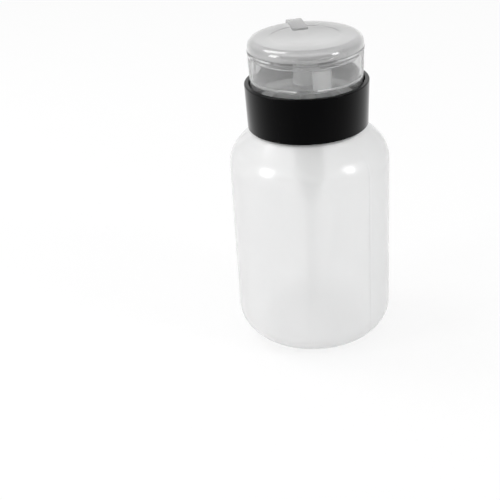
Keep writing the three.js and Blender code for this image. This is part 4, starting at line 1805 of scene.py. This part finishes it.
@dataclass(frozen=True)
class Softbox:
    """A rectangular lamp that looks at the object from a direction."""

    title: str
    azimuth: float
    elevation: float
    distance: float
    width: float
    height: float
    watts: float
    aim_height: float = 0.07

    def build(self) -> None:
        """Makes the lamp."""
        lamp = bpy.data.lights.new(self.title, "AREA")
        lamp.shape = "RECTANGLE"
        lamp.size = self.width
        lamp.size_y = self.height
        lamp.energy = self.watts
        turn, rise = math.radians(self.azimuth), math.radians(self.elevation)
        level = math.cos(rise)
        towards = Vector((level * math.cos(turn), level * math.sin(turn), math.sin(rise)))
        made = added(self.title, lamp)
        made.location = Vector((0, 0, self.aim_height)) + towards * self.distance
        made.rotation_euler = towards.to_track_quat("Z", "Y").to_euler()
        LOG.info("%s lamp at %s", self.title, tuple(round(v, 2) for v in made.location))


@dataclass(frozen=True)
class Studio:
    """The pale floor, the white surroundings, the lamps and the camera."""

    floor_radius: float = 4.0
    floor_top: float = -0.02
    floor_under: float = -2.0
    floor_colour: Colour = (0.93, 0.93, 0.93)
    floor_glow: float = 0.8
    ambient: float = 0.73
    focal_pixels: float = 1042.803
    image_pixels: float = 500.0
    stand_back: float = 377.057
    stand_up: float = 232.243
    yaw: float = -0.0676
    pitch: float = 0.4818
    roll: float = -0.067
    model_turn: float = 10.6
    softboxes: tuple[Softbox, ...] = (
        Softbox("left_softbox", -167.0, 22.0, 0.8, 0.23, 0.35, 1.65),
        Softbox("right_softbox", -40.0, 25.5, 0.8, 0.19, 0.31, 1.35),
        Softbox("back_softbox", 148.0, 58.0, 0.8, 0.3, 0.4, 1.5),
    )

    def shown_rays(self, wiring: Wiring) -> Socket:
        """Tells the rays that see the studio from those that light it.

        Args:
            wiring: The nodes that it goes in.

        Returns:
            1 on rays from the camera, mirrors and glass, and 0 on the rest.
        """
        rays = wiring.add("ShaderNodeLightPath").outputs
        seen = wiring.reckon("MAXIMUM", rays["Is Camera Ray"], rays["Is Glossy Ray"])
        return wiring.reckon("MAXIMUM", seen, rays["Is Transmission Ray"])

    def surroundings(self) -> None:
        """Makes the white surroundings, dimmer as a light than as a background."""
        world = bpy.data.worlds.new("white_surroundings")
        wiring = Wiring(world)
        strength = wiring.spread(self.shown_rays(wiring), self.ambient, 1.0, 0.0, 1.0)
        inputs = {"Color": (1, 1, 1, 1), "Strength": strength}
        wiring.feed(wiring.tree.nodes["Background"], inputs)
        bpy.context.scene.world = world

    def floor(self) -> None:
        """Makes the floor, a wide disc that keeps the object's shadow."""
        profile = oblong(0, self.floor_radius / MM, self.floor_under, self.floor_top)
        disc = turned("studio_floor", profile, faces=96)
        made = bpy.data.materials.new("pale_floor")
        wiring = Wiring(made)
        shader = wiring.tree.nodes["Principled BSDF"]
        grain = wiring.spread(wiring.noise(40.0, 3.0), 0, 1)
        lighter = tuple(value * 1.01 for value in self.floor_colour)
        colour = wiring.blend(grain, self.floor_colour, lighter)
        wiring.feed(shader, {"Base Color": colour, "Roughness": 0.9, "Specular IOR Level": 0.1})
        glow = wiring.add("ShaderNodeEmission", {"Strength": 1.0}).outputs[0]
        share = wiring.spread(self.shown_rays(wiring), 0.0, self.floor_glow, 0.0, 1.0)
        mix = wiring.add("ShaderNodeMixShader", {0: share, 1: shader.outputs[0], 2: glow})
        wiring.feed(wiring.tree.nodes["Material Output"], {"Surface": mix.outputs[0]})
        disc.data.materials.append(made)

    def camera(self) -> None:
        """Sets the camera where the photograph was taken from."""
        ahead = Vector((math.sin(self.yaw), math.cos(self.yaw), 0))
        forward = ahead * math.cos(self.pitch) - Vector((0, 0, math.sin(self.pitch)))
        level = Vector((math.cos(self.yaw), -math.sin(self.yaw), 0))
        upright = level.cross(forward)
        right = level * math.cos(self.roll) + upright * math.sin(self.roll)
        up = upright * math.cos(self.roll) - level * math.sin(self.roll)
        turn = Matrix((right, up, -forward)).transposed().to_4x4()
        place = Matrix.Translation((0, -self.stand_back * MM, self.stand_up * MM))
        lens = bpy.data.cameras.new("photo_view")
        lens.sensor_fit = "HORIZONTAL"
        lens.sensor_width = 36.0
        lens.lens = self.focal_pixels / self.image_pixels * lens.sensor_width
        lens.clip_start = 0.01
        made = added("photo_view", lens)
        made.matrix_world = Matrix.Rotation(math.radians(-self.model_turn), 4, "Z") @ place @ turn
        bpy.context.scene.camera = made

    def build(self) -> None:
        """Makes the floor, the surroundings, the lamps and the camera."""
        bpy.context.scene.view_settings.view_transform = "Standard"
        self.surroundings()
        self.floor()
        self.camera()
        for softbox in self.softboxes:
            softbox.build()
        LOG.info("studio ready")


def main() -> None:
    """Builds every sub-assembly in order, then the studio."""
    logging.basicConfig(level=logging.INFO, format="%(name)s: %(message)s")
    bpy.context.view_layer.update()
    levels = Levels()
    engine = Engine(levels)
    for assembly in (
        Bottle(levels),
        Closure(levels),
        engine,
        Valves(levels, engine),
        Plunger(levels, engine),
        SnapHinge(levels),
        Studio(),
    ):
        assembly.build()


if __name__ == "__main__":
    main()
